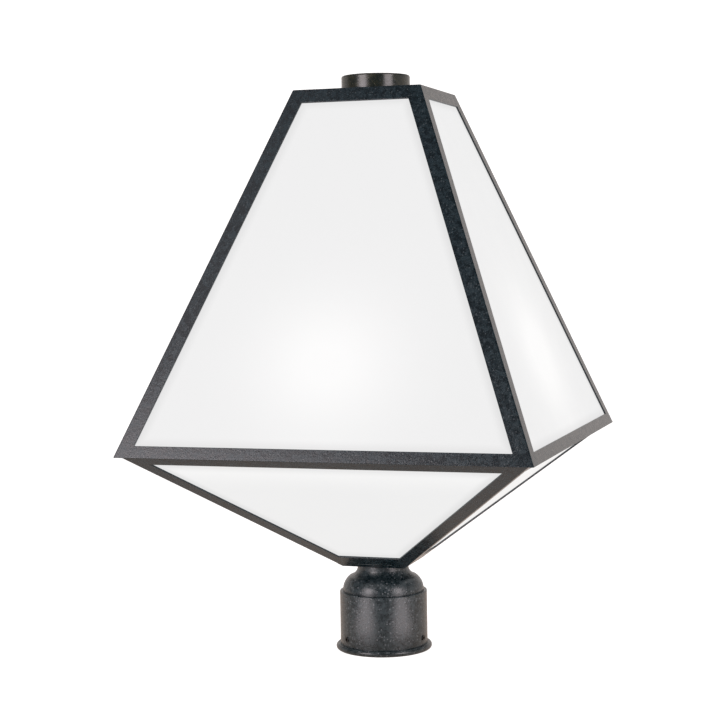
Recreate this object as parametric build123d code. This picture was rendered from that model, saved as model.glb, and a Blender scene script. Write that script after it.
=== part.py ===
"""Post top lantern: two glazed square cages on a round fitter that slips over a 3 inch post.

The upper cage is a tall truncated pyramid and the lower cage a shallow inverted one. Both are made of
flat steel bars, bent or set on edge, with opal glass behind them. The upper cage stands on the rim of the
lower one and is clamped down by the knob on top, which turns on a threaded pipe that runs up the middle
from the fitter. With the knob off, the upper cage lifts away and the three lamps can be reached.

Millimetres, +Z up. The origin is on the axis, in the plane of the fitter's foot. The front is -Y.
Sides are counted front, right, back, left, and each corner is named by the two sides that meet there.
"""

import math
import os
from dataclasses import dataclass

from build123d import *

# --- Envelope ---------------------------------------------------------------------------------------
rim_width = 366.0  # outer width of the upper cage at its foot, the widest place
top_width = 117.8  # outer width of the upper cage at its top edge
foot_width = 58.9  # outer width of the lower cage where it meets the fitter
upper_height = 316.0  # rim to top edge
lower_height = 114.0  # fitter to rim
rim_inset = 4.8  # the lower cage's face lies this far inside the upper cage's face at the rim

# --- Bars and plates --------------------------------------------------------------------------------
bar_thickness = 1.6
upper_corner_leg = 13.4  # width of each leg of an upper corner bar, measured on the face
top_rail_width = 12.6
rim_rail_width = 11.1
lower_corner_leg = 11.4
lower_top_rail_width = 11.6
lower_bottom_rail_width = 12.4
shelf_thickness = 2.5  # the level leg of a rail
shelf_width = 11.0
cage_seat_gap = 0.2  # between the upper cage's shelf and the lower cage's
nest_gap = 0.7  # between the lower cage's shelf and the inside of the rim
top_plate_thickness = 3.0
top_plate_gap = 0.4
base_plate_thickness = 3.0
plate_screw_radius = 2.0
plate_screw_gap = 0.05
plate_screw_length = 9.0  # under the head
plate_screw_head_radius = 3.6
plate_screw_head_height = 2.2
plate_screw_step = 1.0  # from the middle of a shelf towards the axis

# --- Glass and its clips ----------------------------------------------------------------------------
glass_thickness = 3.0
glass_gap = 0.15  # between a pane and the bars it lies against
glass_overlap = 5.5  # how far a pane runs behind a bar at its sides and at the lower foot
glass_edge_gap = 0.4  # between a pane's edge and a shelf
clip_thickness = 1.0
clip_foot = 3.2
clip_gap = 0.5
clip_reach = 9.0
clip_length = 14.0
clip_touch_gap = 0.05  # between a clip's tab and the pane
left_clip_places = (0.30, 0.74)  # along a corner bar, as shares of its length
right_clip_places = (0.20, 0.64)

# --- Post fitter ------------------------------------------------------------------------------------
post_bore_radius = 38.5  # slips over a post of 76.2 mm with 0.4 mm to spare all round
fitter_wall = 1.7
post_stop_drop = 3.7  # from the ledge down to the shoulder that the post's end meets
post_stop_width = 4.5
bead_radius = 2.8
bead_reach = 4.0  # how far the rolled bead stands out from the collar
ledge_height = 54.2
ledge_width = 2.9
ledge_round = 0.8
dome_height = 13.2
dome_top_radius = 31.4
dome_bulge = 1.7  # how far the dome's side stands out from a straight cone
cove_lip = 1.2
cove_drop = 0.6  # the cove starts this far above the dome
cove_height = 7.2
cove_depth = 1.2
neck_radius = 23.6
neck_height = 3.9
neck_wall = 3.5
inner_neck_radius = 19.0
inner_neck_height = 5.0
bore_chamfer = 0.8
gasket_thickness = 1.5
gasket_edge_gap = 1.2

# --- Set screws that grip the post ------------------------------------------------------------------
set_screw_count = 3
set_screw_radius = 2.45
set_screw_gap = 0.05
set_screw_length = 2.4
set_screw_height = 12.4
set_screw_first_angle = -10.0  # degrees from +X
set_screw_hex = 2.5  # across flats of its key socket
set_screw_hex_depth = 1.2

# --- Threaded centre pipe and its nuts --------------------------------------------------------------
pipe_radius = 5.0
pipe_bore_radius = 4.0
pipe_gap = 0.1  # between the pipe and each hole it passes
pipe_foot_drop = 6.5  # from the lowest nut down to the pipe's end
pipe_head_clearance = 2.0  # between the pipe's end and the knob's roof
wire_slot_width = 5.0
wire_slot_height = 12.0
wire_slot_rise = 8.0  # from the wiring cup's underside to the slot's lower end
nut_across_flats = 14.0
nut_thickness = 4.5
nut_gap = 0.05
bushing_flange_radius = 6.2
bushing_flange_thickness = 1.5
bushing_depth = 6.0
bushing_bore_radius = 3.1

# --- Knob -------------------------------------------------------------------------------------------
knob_radius = 31.1
knob_height = 15.0
knob_wall = 2.5
knob_edge_round = 1.6
knob_boss_radius = 9.0
knob_thread_gap = 0.06
knob_seal_thickness = 1.0
knob_seal_radius = 8.5

# --- Lamp cluster -----------------------------------------------------------------------------------
lamp_count = 3
lamp_circle_radius = 33.0
first_lamp_angle = 90.0
cup_radius = 48.0
cup_height = 30.0
cup_wall = 1.2
cover_thickness = 1.5
cover_skirt = 6.0
cover_skirt_gap = 0.3
cluster_rise = 94.5  # from the fitter up to the cover's top, where the lampholders stand
lampholder_radius = 12.5
lampholder_height = 38.0
lampholder_stub_radius = 5.0
lampholder_stub_length = 8.0
lampholder_well_radius = 6.75
lampholder_well_depth = 24.0
lampholder_chamfer = 1.0
shell_gap = 0.15
shell_wall = 0.4
shell_drop = 1.0  # the shell stops this far below the lampholder's top
contact_radius = 2.5
contact_height = 2.7
lamp_base_radius = 5.95
lamp_base_length = 21.0
lamp_base_tip_radius = 2.4
lamp_base_tip_height = 3.0
lamp_base_shoulder = 1.0
lamp_contact_gap = 0.3
bulb_neck_radius = 6.8
bulb_radius = 17.5
bulb_widest_height = 28.0
bulb_height = 77.0
bulb_tip_radius = 2.2
bulb_wall = 0.9
bulb_slope = 0.35  # how much the envelope leans at its neck and at its tip

# --- Places worked out from the sizes above ----------------------------------------------------------
neck_top_z = ledge_height + dome_height + cove_height + neck_height
neck_ceiling_z = neck_top_z - neck_wall
post_stop_z = ledge_height - post_stop_drop
fitter_top_z = neck_top_z + gasket_thickness
base_top_z = fitter_top_z + base_plate_thickness
rim_z = fitter_top_z + lower_height
top_z = rim_z + upper_height
knob_top_z = top_z + knob_height
cluster_z = fitter_top_z + cluster_rise
lowest_nut_z = neck_ceiling_z - nut_thickness
pipe_foot_z = lowest_nut_z - pipe_foot_drop
past = 1.0  # how far a cutting solid runs past what it cuts
SIDES = ("front", "right", "back", "left")
CORNERS = ("front_right", "back_right", "back_left", "front_left")
QUARTER = 90.0


@dataclass
class Cage:
    """A square truncated pyramid, known by its outer half-widths at its lower and upper edges."""

    low_z: float
    low_half: float
    high_z: float
    high_half: float

    @property
    def rise(self):
        return self.high_z - self.low_z

    @property
    def run(self):
        return self.low_half - self.high_half

    @property
    def face_length(self):
        return math.hypot(self.rise, self.run)

    @property
    def hip_stretch(self):
        """How much a width square to a corner edge grows when it is measured level on the face."""
        return math.hypot(self.face_length, self.run) / self.face_length

    def half_at(self, z, depth=0.0):
        """Half-width at a height, taken in by a depth that is square to the face."""
        share = (z - self.low_z) / self.rise
        return self.low_half - self.run * share - depth * self.face_length / self.rise

    def along_face(self, height):
        """Length on the face that spans a given height."""
        return height * self.face_length / self.rise

    def along_at(self, z, depth):
        """Length up the face below which a point, sunk by a depth square to it, stands at a height."""
        return ((z - self.low_z) * self.face_length + depth * self.run) / self.rise

    def block(self, z_low, z_high, depth=0.0):
        low, high = (2 * self.half_at(z, depth) for z in (z_low, z_high))
        outlines = [Pos(0, 0, z_low) * Rectangle(low, low), Pos(0, 0, z_high) * Rectangle(high, high)]
        return loft(outlines, ruled=True)

    def walls(self, thickness, z_low=None):
        z_low = self.low_z if z_low is None else z_low
        inside = self.block(z_low - past, self.high_z + past, thickness)
        return self.block(z_low, self.high_z) - inside

    @property
    def front_plane(self):
        """The front face: x to the right, y up the slope, z outwards, from the middle of its lower edge."""
        normal = Vector(0, -self.rise, self.run).normalized()
        return Plane(origin=(0, -self.low_half, self.low_z), x_dir=(1, 0, 0), z_dir=normal)

    def half_on_face(self, along, side_inset=0.0):
        """Half-width of the front face at a length up its slope, less an inset square to the corner."""
        return self.low_half - self.run * along / self.face_length - side_inset * self.hip_stretch

    def plate(self, low, high, side_inset, depth, thickness):
        """A flat trapezium parallel to the front face, between two lengths up its slope."""
        low_half, high_half = (self.half_on_face(v, side_inset) for v in (low, high))
        outline = [(-low_half, low), (low_half, low), (high_half, high), (-high_half, high)]
        flat = self.front_plane.offset(-depth) * Polygon(*outline, align=None)
        return extrude(flat, amount=-thickness)

    def corner_strip(self, leg):
        """A block that holds all of the front face's walls within a leg's width of its right corner."""
        reach = 4 * leg
        along_low, along_high = -reach, self.face_length + reach
        outer = [(self.half_on_face(v, -reach), v) for v in (along_low, along_high)]
        inner = [(self.half_on_face(v, leg), v) for v in (along_high, along_low)]
        strip = self.front_plane * Polygon(*outer, *inner, align=None)
        return extrude(strip, amount=leg / 2, both=True)

    def band(self, low, high):
        """A block that holds the front face's walls between two lengths up its slope."""
        width = 4 * max(self.low_half, self.high_half)
        middle = (low + high) / 2
        strip = self.front_plane * Pos(0, middle) * Rectangle(width, high - low)
        return extrude(strip, amount=2 * bar_thickness, both=True)


upper = Cage(rim_z, rim_width / 2, top_z, top_width / 2)
lower = Cage(fitter_top_z, foot_width / 2, rim_z, rim_width / 2 - rim_inset)


def turned(shape, side):
    """The shape, made for the front or the front right corner, turned to another side."""
    return Rot(0, 0, QUARTER * side) * shape


def disc(radius, z_low, z_high, at=(0.0, 0.0)):
    return Pos(at[0], at[1], (z_low + z_high) / 2) * Cylinder(radius, z_high - z_low)


def ring(outer_radius, inner_radius, z_low, z_high, at=(0.0, 0.0)):
    return disc(outer_radius, z_low, z_high, at) - disc(inner_radius, z_low - past, z_high + past, at)


def side_wedge(z_low, z_high):
    """The quarter of the plan that belongs to the front side, mitred on the diagonals."""
    reach = rim_width
    corner = Polygon((0, 0), (-reach, -reach), (reach, -reach), align=None)
    return extrude(Pos(0, 0, z_low) * corner, amount=z_high - z_low)


def spin(profile):
    """The solid of revolution of a closed outline drawn in radius and height."""
    return revolve(Plane.XZ * profile, axis=Axis.Z)


# --- Cage bars ---------------------------------------------------------------------------------------


def corner_bar(cage, leg, z_low=None):
    """The bent bar at the front right corner."""
    mirrored = mirror(cage.corner_strip(leg), about=Plane.YZ)
    return cage.walls(bar_thickness, z_low) & (cage.corner_strip(leg) + turned(mirrored, 1))


def flat_rail(cage, low, high, bar, z_low=None):
    """The sloping leg of a front rail, butted between the two corner bars."""
    strip = cage.walls(bar_thickness, z_low) & cage.band(low, high)
    return strip - bar - turned(bar, -1)


def shelf(block, half_low, z_low, z_high):
    """The level leg of a front rail: a mitred strip inside the block."""
    opening = 2 * (half_low - shelf_width)
    hole = Pos(0, 0, (z_low + z_high) / 2) * Box(opening, opening, z_high - z_low + 2 * past)
    return (block - hole) & side_wedge(z_low - past, z_high + past)


top_shelf_z = top_z - top_plate_thickness
rim_shelf_z = rim_z + shelf_thickness + cage_seat_gap


def plate_screw_place():
    """Distance of a top plate screw from the axis: over the middle of a shelf."""
    return upper.half_at(top_shelf_z, bar_thickness) - shelf_width / 2 - plate_screw_step


def top_rail(bar):
    strip = flat_rail(upper, upper.face_length - top_rail_width, upper.face_length + past, bar)
    z_low = top_shelf_z - shelf_thickness
    half = upper.half_at(z_low, bar_thickness)
    level = shelf(upper.block(z_low, top_shelf_z, bar_thickness), half, z_low, top_shelf_z)
    at = (0, -plate_screw_place())
    return strip + level - disc(plate_screw_radius + plate_screw_gap, z_low - past, top_z, at)


def rim_rail(bar):
    strip = flat_rail(upper, -past, rim_rail_width, bar)
    z_high = rim_shelf_z + shelf_thickness
    half = upper.half_at(rim_shelf_z, bar_thickness)
    block = upper.block(rim_shelf_z, z_high, bar_thickness)
    return strip + shelf(block, half, rim_shelf_z, z_high)


def lower_shelf_half():
    """Half-width of the lower cage's shelf, which nests inside the rim."""
    return upper.half_at(rim_z + shelf_thickness, bar_thickness) - nest_gap


def lower_top_rail(bar):
    length = lower.face_length
    strip = flat_rail(lower, length - lower_top_rail_width, length + past, bar, base_top_z)
    half = lower_shelf_half()
    z_high = rim_z + shelf_thickness
    block = Pos(0, 0, (rim_z + z_high) / 2) * Box(2 * half, 2 * half, shelf_thickness)
    return strip + shelf(block, half, rim_z, z_high)


def lower_bottom_rail(bar):
    low = lower.along_face(base_plate_thickness)
    return flat_rail(lower, low, low + lower_bottom_rail_width, bar, base_top_z)


def top_plate():
    half = upper.half_at(top_z, bar_thickness) - top_plate_gap
    plate = Pos(0, 0, top_z - top_plate_thickness / 2) * Box(2 * half, 2 * half, top_plate_thickness)
    plate -= disc(pipe_radius + pipe_gap, top_shelf_z - past, top_z + past)
    at = (0, -plate_screw_place())
    hole = disc(plate_screw_radius + plate_screw_gap, top_shelf_z - past, top_z + past, at)
    for side in range(len(SIDES)):
        plate -= turned(hole, side)
    return plate


def top_plate_screws():
    at = (0, -plate_screw_place())
    shank = disc(plate_screw_radius, top_z - plate_screw_length, top_z, at)
    head = disc(plate_screw_head_radius, top_z, top_z + plate_screw_head_height, at)
    head = fillet(head.edges().sort_by(Axis.Z)[-1], plate_screw_head_height / 2)
    return Compound([turned(shank + head, side).solid() for side in range(len(SIDES))])


def base_plate():
    plate = lower.block(fitter_top_z, base_top_z)
    return plate - disc(pipe_radius + pipe_gap, fitter_top_z - past, base_top_z + past)


# --- Glass -------------------------------------------------------------------------------------------

pane_depth = bar_thickness + glass_gap


pane_depths = (pane_depth, pane_depth + glass_thickness)


def upper_pane():
    """Its edges stop short of both shelves, where the nearer of its two faces would meet them."""
    low_z = rim_shelf_z + shelf_thickness + glass_edge_gap
    high_z = top_shelf_z - shelf_thickness - glass_edge_gap
    low = max(upper.along_at(low_z, depth) for depth in pane_depths)
    high = min(upper.along_at(high_z, depth) for depth in pane_depths)
    return upper.plate(low, high, upper_corner_leg - glass_overlap, pane_depth, glass_thickness)


def lower_pane():
    low = lower.along_face(base_plate_thickness) + lower_bottom_rail_width - glass_overlap
    high = min(lower.along_at(rim_z - glass_edge_gap, depth) for depth in pane_depths)
    return lower.plate(low, high, lower_corner_leg - glass_overlap, pane_depth, glass_thickness)


def clip(cage, leg, share):
    """A bent spring clip on the front left corner bar, at a share of its length: foot, riser and tab."""
    low = Vector(-cage.low_half, -cage.low_half, cage.low_z)
    high = Vector(-cage.high_half, -cage.high_half, cage.high_z)
    along = (high - low).normalized()
    inward = -cage.front_plane.z_dir
    across = inward.cross(along).normalized()
    if across.X < 0:
        across = -across
    place = low + (high - low) * share
    plane = Plane(origin=place, x_dir=across, z_dir=across.cross(inward))
    riser_end = leg - glass_overlap - clip_gap
    riser_start = riser_end - clip_thickness
    foot_start = riser_end - clip_foot
    tab_depth = pane_depth + glass_thickness + clip_touch_gap
    tab_back = tab_depth + clip_thickness
    outline = [
        (foot_start, bar_thickness),
        (riser_end, bar_thickness),
        (riser_end, tab_depth),
        (riser_end + clip_reach, tab_depth),
        (riser_end + clip_reach, tab_back),
        (riser_start, tab_back),
        (riser_start, bar_thickness + clip_thickness),
        (foot_start, bar_thickness + clip_thickness),
    ]
    return extrude(plane * Polygon(*outline, align=None), amount=clip_length / 2, both=True)


def glass_clips(cage, leg):
    clips = []
    for side in range(len(SIDES)):
        for left, right in zip(left_clip_places, right_clip_places):
            clips.append(turned(clip(cage, leg, left), side).solid())
            clips.append(turned(mirror(clip(cage, leg, right), about=Plane.YZ), side).solid())
    return Compound(clips)


# --- Post fitter -------------------------------------------------------------------------------------


def set_screw_angles():
    return [set_screw_first_angle + 360.0 * n / set_screw_count for n in range(set_screw_count)]


def post_fitter():
    """Rolled bead, plain collar, stepped ledge, dome, cove and neck, hollow from below."""
    collar = post_bore_radius + fitter_wall
    bead = collar + bead_reach - bead_radius
    ledge = collar - ledge_width
    dome_top = ledge_height + dome_height
    cove_foot = dome_top_radius - cove_lip
    cove_top = dome_top + cove_height
    inner_neck_z = neck_ceiling_z - inner_neck_height
    stop = post_bore_radius - post_stop_width
    pipe_hole = pipe_radius + pipe_gap
    mouth = post_bore_radius + bore_chamfer
    with BuildSketch() as outline:
        with BuildLine():
            Line((mouth, 0), (bead, 0))
            ThreePointArc((bead, 0), (bead + bead_radius, bead_radius), (bead, 2 * bead_radius))
            Line((bead, 2 * bead_radius), (collar, 2 * bead_radius))
            Line((collar, 2 * bead_radius), (collar, ledge_height - ledge_round))
            round_start = (collar, ledge_height - ledge_round)
            round_end = (collar - ledge_round, ledge_height)
            RadiusArc(round_start, round_end, -ledge_round)
            Line((collar - ledge_round, ledge_height), (ledge, ledge_height))
            SagittaArc((ledge, ledge_height), (dome_top_radius, dome_top), -dome_bulge)
            Line((dome_top_radius, dome_top), (cove_foot, dome_top + cove_drop))
            SagittaArc((cove_foot, dome_top + cove_drop), (neck_radius, cove_top), cove_depth)
            Line((neck_radius, cove_top), (neck_radius, neck_top_z))
            Line((neck_radius, neck_top_z), (pipe_hole, neck_top_z))
            Line((pipe_hole, neck_top_z), (pipe_hole, neck_ceiling_z))
            Line((pipe_hole, neck_ceiling_z), (inner_neck_radius, neck_ceiling_z))
            Line((inner_neck_radius, neck_ceiling_z), (inner_neck_radius, inner_neck_z))
            Line((inner_neck_radius, inner_neck_z), (stop, ledge_height))
            Line((stop, ledge_height), (stop, post_stop_z))
            Line((stop, post_stop_z), (post_bore_radius, post_stop_z))
            Line((post_bore_radius, post_stop_z), (post_bore_radius, bore_chamfer))
            Line((post_bore_radius, bore_chamfer), (mouth, 0))
        make_face()
    body = spin(outline.sketch)
    hole = radial_rod(set_screw_radius + set_screw_gap, post_bore_radius - past, collar + past)
    for angle in set_screw_angles():
        body -= Rot(0, 0, angle) * hole
    return body


def radial_rod(radius, r_low, r_high):
    """A rod along +X at the set screws' height."""
    lying = Pos((r_low + r_high) / 2, 0, set_screw_height) * Rot(0, 90, 0)
    return lying * Cylinder(radius, r_high - r_low)


def set_screw(angle):
    """Backed out: its point is flush with the bore and its key socket faces outwards."""
    outer = post_bore_radius + set_screw_length
    screw = radial_rod(set_screw_radius, post_bore_radius, outer)
    end = Plane(origin=(outer, 0, set_screw_height), x_dir=(0, 1, 0), z_dir=(1, 0, 0))
    hexagon = end * RegularPolygon(set_screw_hex / 2, 6, major_radius=False)
    socket = extrude(hexagon, amount=-set_screw_hex_depth)
    return Rot(0, 0, angle) * (screw - socket)


def neck_gasket():
    return ring(neck_radius - gasket_edge_gap, pipe_radius + pipe_gap, neck_top_z, fitter_top_z)


# --- Centre pipe, nuts and knob ----------------------------------------------------------------------

cup_floor_z = cluster_z - cover_thickness - cup_height
stub_end_z = cluster_z - cover_thickness - lampholder_stub_length
pipe_head_z = knob_top_z - knob_wall - pipe_head_clearance


def lamp_angles():
    return [first_lamp_angle + 360.0 * n / lamp_count for n in range(lamp_count)]


def lamp_place(angle):
    turn = math.radians(angle)
    return lamp_circle_radius * math.cos(turn), lamp_circle_radius * math.sin(turn)


def centre_pipe():
    """Open at both ends, with a slot in its right side inside the wiring cup."""
    pipe = ring(pipe_radius, pipe_bore_radius, pipe_foot_z, pipe_head_z)
    slot_z = cup_floor_z + wire_slot_rise + wire_slot_height / 2
    slot = Pos(pipe_radius, 0, slot_z) * Box(2 * pipe_radius, wire_slot_width, wire_slot_height)
    return pipe - slot


def pipe_bushing():
    """A flanged sleeve that lines the pipe's lower mouth."""
    flange_low = pipe_foot_z - bushing_flange_thickness
    sleeve_radius = pipe_bore_radius - nut_gap
    sleeve_top = pipe_foot_z + bushing_depth
    body = disc(sleeve_radius, flange_low, sleeve_top)
    body += disc(bushing_flange_radius, flange_low, pipe_foot_z)
    return body - disc(bushing_bore_radius, flange_low - past, sleeve_top + past)


def lock_nut(z_low, at=(0.0, 0.0)):
    hexagon = RegularPolygon(nut_across_flats / 2, 6, major_radius=False) - Circle(pipe_radius + nut_gap)
    return extrude(Pos(at[0], at[1], z_low) * hexagon, amount=nut_thickness)


def lock_nuts():
    """One size of nut throughout: five on the pipe and one under each lampholder."""
    at_cup = [cup_floor_z - nut_thickness, cup_floor_z + cup_wall]
    nuts = [lock_nut(z) for z in (lowest_nut_z, base_top_z, *at_cup, cluster_z)]
    under_cover = cluster_z - cover_thickness - nut_thickness
    nuts += [lock_nut(under_cover, lamp_place(angle)) for angle in lamp_angles()]
    return Compound([nut.solid() for nut in nuts])


def knob():
    """A round cap with a threaded boss inside, standing on the top plate."""
    cap = disc(knob_radius, top_z, knob_top_z)
    cap = fillet(cap.edges().sort_by(Axis.Z)[-1], knob_edge_round)
    cap -= disc(knob_radius - knob_wall, top_z - past, knob_top_z - knob_wall)
    boss_foot = top_z + knob_seal_thickness
    cap += disc(knob_boss_radius, boss_foot, knob_top_z - knob_wall / 2)
    return cap - disc(pipe_radius + knob_thread_gap, boss_foot - past, knob_top_z - knob_wall)


def knob_seal():
    return ring(knob_seal_radius, pipe_radius + pipe_gap, top_z, top_z + knob_seal_thickness)


# --- Lamp cluster ------------------------------------------------------------------------------------


def wiring_cup():
    top = cluster_z - cover_thickness
    cup = disc(cup_radius, cup_floor_z, top)
    cup -= disc(cup_radius - cup_wall, cup_floor_z + cup_wall, top + past)
    return cup - disc(pipe_radius + pipe_gap, cup_floor_z - past, cup_floor_z + 2 * cup_wall)


def cluster_cover():
    """A lid with a short skirt over the cup, holed for the pipe and for each lampholder's stub."""
    inside = cup_radius + cover_skirt_gap
    underside = cluster_z - cover_thickness
    lid = disc(inside + cover_thickness, underside - cover_skirt, cluster_z)
    lid -= disc(inside, underside - cover_skirt - past, underside)
    lid -= disc(pipe_radius + pipe_gap, underside - past, cluster_z + past)
    for angle in lamp_angles():
        at = lamp_place(angle)
        lid -= disc(lampholder_stub_radius + pipe_gap, underside - past, cluster_z + past, at)
    return lid


lampholder_top_z = cluster_z + lampholder_height
well_floor_z = lampholder_top_z - lampholder_well_depth
lamp_foot_z = well_floor_z + contact_height + lamp_contact_gap


def lampholder(angle):
    at = lamp_place(angle)
    body = disc(lampholder_radius, cluster_z, lampholder_top_z, at)
    body = chamfer(body.edges().sort_by(Axis.Z)[-1], lampholder_chamfer)
    body += disc(lampholder_stub_radius, stub_end_z, cluster_z, at)
    return body - disc(lampholder_well_radius, well_floor_z, lampholder_top_z + past, at)


def lampholder_contacts():
    """In each lampholder, the screw shell that lines its well and the contact on the well's floor."""
    pieces = []
    shell_radius = lampholder_well_radius - shell_gap
    for angle in lamp_angles():
        at = lamp_place(angle)
        shell_top_z = lampholder_top_z - shell_drop
        pieces.append(ring(shell_radius, shell_radius - shell_wall, well_floor_z, shell_top_z, at))
        pieces.append(disc(contact_radius, well_floor_z, well_floor_z + contact_height, at))
    return Compound([piece.solid() for piece in pieces])


def lamp_base(angle):
    """The lamp's screw cap: threaded barrel, tapered insulator and foot contact."""
    taper_z = lamp_foot_z + lamp_base_tip_height
    top = lamp_foot_z + lamp_base_length
    outline = Polygon(
        (0, lamp_foot_z),
        (lamp_base_tip_radius, lamp_foot_z),
        (lamp_base_radius - lamp_base_shoulder, taper_z),
        (lamp_base_radius, taper_z + lamp_base_shoulder),
        (lamp_base_radius, top),
        (0, top),
        align=None,
    )
    return Pos(*lamp_place(angle), 0) * spin(outline)


def bulb_outline(wall):
    """Half section of the lamp's envelope, drawn in by a wall: neck, belly and drawn-out tip."""
    foot = lamp_foot_z + lamp_base_length
    neck, belly, tip = (radius - wall for radius in (bulb_neck_radius, bulb_radius, bulb_tip_radius))
    belly_z, top = foot + bulb_widest_height, foot + bulb_height - wall
    with BuildSketch() as outline:
        with BuildLine():
            Line((0, foot), (neck, foot))
            leans = [(bulb_slope, 1), (-bulb_slope, 1)]
            Spline((neck, foot), (belly, belly_z), (tip, top), tangents=leans)
            Line((tip, top), (0, top))
            Line((0, top), (0, foot))
        make_face()
    return outline.sketch


def lamp_bulb(angle):
    """A thin candle-shaped envelope, open where the cap closes it."""
    envelope = spin(bulb_outline(0)) - spin(bulb_outline(bulb_wall))
    return Pos(*lamp_place(angle), 0) * envelope


# --- All sub-parts -----------------------------------------------------------------------------------


def sub_parts():
    upper_bar = corner_bar(upper, upper_corner_leg)
    lower_bar = corner_bar(lower, lower_corner_leg, base_top_z)
    top, rim, lower_top = top_rail(upper_bar), rim_rail(upper_bar), lower_top_rail(lower_bar)
    foot_rail = lower_bottom_rail(lower_bar)
    upper_glass, lower_glass = upper_pane(), lower_pane()
    parts = {}
    for side, name in enumerate(SIDES):
        parts[f"top_rail_{name}"] = turned(top, side)
        parts[f"rim_rail_{name}"] = turned(rim, side)
        parts[f"lower_top_rail_{name}"] = turned(lower_top, side)
        parts[f"upper_glass_{name}"] = turned(upper_glass, side)
        parts[f"lower_glass_{name}"] = turned(lower_glass, side)
    for side, name in enumerate(CORNERS):
        parts[f"upper_corner_bar_{name}"] = turned(upper_bar, side)
        parts[f"lower_corner_bar_{name}"] = turned(lower_bar, side)
    parts["lower_bottom_rails"] = Compound([turned(foot_rail, side).solid() for side in range(len(SIDES))])
    parts["upper_glass_clips"] = glass_clips(upper, upper_corner_leg)
    parts["lower_glass_clips"] = glass_clips(lower, lower_corner_leg)
    parts["top_plate"] = top_plate()
    parts["top_plate_screws"] = top_plate_screws()
    parts["base_plate"] = base_plate()
    parts["post_fitter"] = post_fitter()
    parts["neck_gasket"] = neck_gasket()
    parts["centre_pipe"] = centre_pipe()
    parts["pipe_bushing"] = pipe_bushing()
    parts["lock_nuts"] = lock_nuts()
    parts["knob"] = knob()
    parts["knob_seal"] = knob_seal()
    parts["wiring_cup"] = wiring_cup()
    parts["cluster_cover"] = cluster_cover()
    parts["lampholder_contacts"] = lampholder_contacts()
    for number, angle in enumerate(lamp_angles(), 1):
        parts[f"lampholder_{number}"] = lampholder(angle)
        parts[f"lamp_base_{number}"] = lamp_base(angle)
        parts[f"lamp_bulb_{number}"] = lamp_bulb(angle)
    for number, angle in enumerate(set_screw_angles(), 1):
        parts[f"set_screw_{number}"] = set_screw(angle)
    return parts


os.makedirs("parts", exist_ok=True)
for node, shape in sub_parts().items():
    export_step(shape, f"parts/{node}.step")
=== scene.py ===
"""Finishes of a post top lantern: its cages of bars, opal panes, fitter, knob and lamps, and a studio.

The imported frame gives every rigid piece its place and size. The bars and rails of both cages, the centre
pipe, the plate screws and the lamps' caps are made again here as numpy surfaces, with the rounded edges and
threads that the real pieces have, and stand for the frame's own nodes. Each cap gets its insulator. Every
other piece keeps its node and gets a finish.
Metres, +Z up. The front faces -Y, and sides are counted front, right, back, left.
"""

import math

import bmesh
import bpy
import numpy as np
from bpy.props import FloatProperty, FloatVectorProperty, PointerProperty
from mathutils import Matrix, Vector


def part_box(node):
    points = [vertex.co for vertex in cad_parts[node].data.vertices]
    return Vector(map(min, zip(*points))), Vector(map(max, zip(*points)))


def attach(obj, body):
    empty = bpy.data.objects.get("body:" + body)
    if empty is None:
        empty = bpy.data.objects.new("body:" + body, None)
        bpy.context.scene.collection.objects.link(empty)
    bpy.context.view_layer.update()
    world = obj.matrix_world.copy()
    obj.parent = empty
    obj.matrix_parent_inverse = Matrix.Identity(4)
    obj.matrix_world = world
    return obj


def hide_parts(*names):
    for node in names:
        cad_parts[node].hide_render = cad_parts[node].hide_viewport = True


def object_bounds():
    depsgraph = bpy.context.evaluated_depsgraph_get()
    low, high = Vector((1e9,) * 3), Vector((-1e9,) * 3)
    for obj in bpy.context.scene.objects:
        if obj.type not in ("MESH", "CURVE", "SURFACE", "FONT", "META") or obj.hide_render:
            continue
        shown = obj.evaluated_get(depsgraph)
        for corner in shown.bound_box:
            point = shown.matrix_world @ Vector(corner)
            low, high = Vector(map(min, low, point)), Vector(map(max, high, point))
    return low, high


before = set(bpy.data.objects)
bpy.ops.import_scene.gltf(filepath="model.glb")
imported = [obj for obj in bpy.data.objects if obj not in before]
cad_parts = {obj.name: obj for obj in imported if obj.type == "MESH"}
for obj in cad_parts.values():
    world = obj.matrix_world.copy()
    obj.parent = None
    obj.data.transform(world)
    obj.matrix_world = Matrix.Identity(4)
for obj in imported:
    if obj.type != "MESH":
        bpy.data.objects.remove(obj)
CAD_BOX = [list(corner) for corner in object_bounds()]

bl_info = {
    "name": "Post Top Lantern Finishes",
    "version": (1, 0, 0),
    "blender": (4, 5, 0),
    "location": "3D View > Sidebar > Lantern",
    "description": "Builds the bars, glass, fitter, lamps and studio of a post top lantern round its frame",
    "category": "Object",
}

MM = 0.001
SIDES = ("front", "right", "back", "left")
CORNERS = ("front_right", "back_right", "back_left", "front_left")
NUMBERS = (1, 2, 3)  # of the lamps, and of the set screws
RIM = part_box("upper_corner_bar_front_right")[0][2]

NEAR = 0.01 * MM  # two levels this close are the same
MERGED = 0.001 * MM  # points this close become one
SHARP = math.radians(40)  # an edge that bends further than this stays crisp
FLAT_WEIGHT = 80  # how far the large faces rule the shading of the small ones beside them

# How finely surfaces are divided.
ARC_STEPS = 5  # of a rounded corner
LATHE_COLUMNS, DOME_RINGS, SHANK_RINGS, BARREL_RINGS = 48, 21, 60, 67  # of screws and caps
PIPE_COLUMNS, SLOT_HALF_COLUMNS, PIPE_TURN_RINGS = 40, 4, 5  # round the pipe, over half its slot, a turn
FLOOR_COLUMNS, FLOOR_ARC_RINGS = 96, 13
FLAT_RINGS = (0.25, 0.5, 1.0, 2.0)  # radii of the rings on the floor's level part

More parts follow.
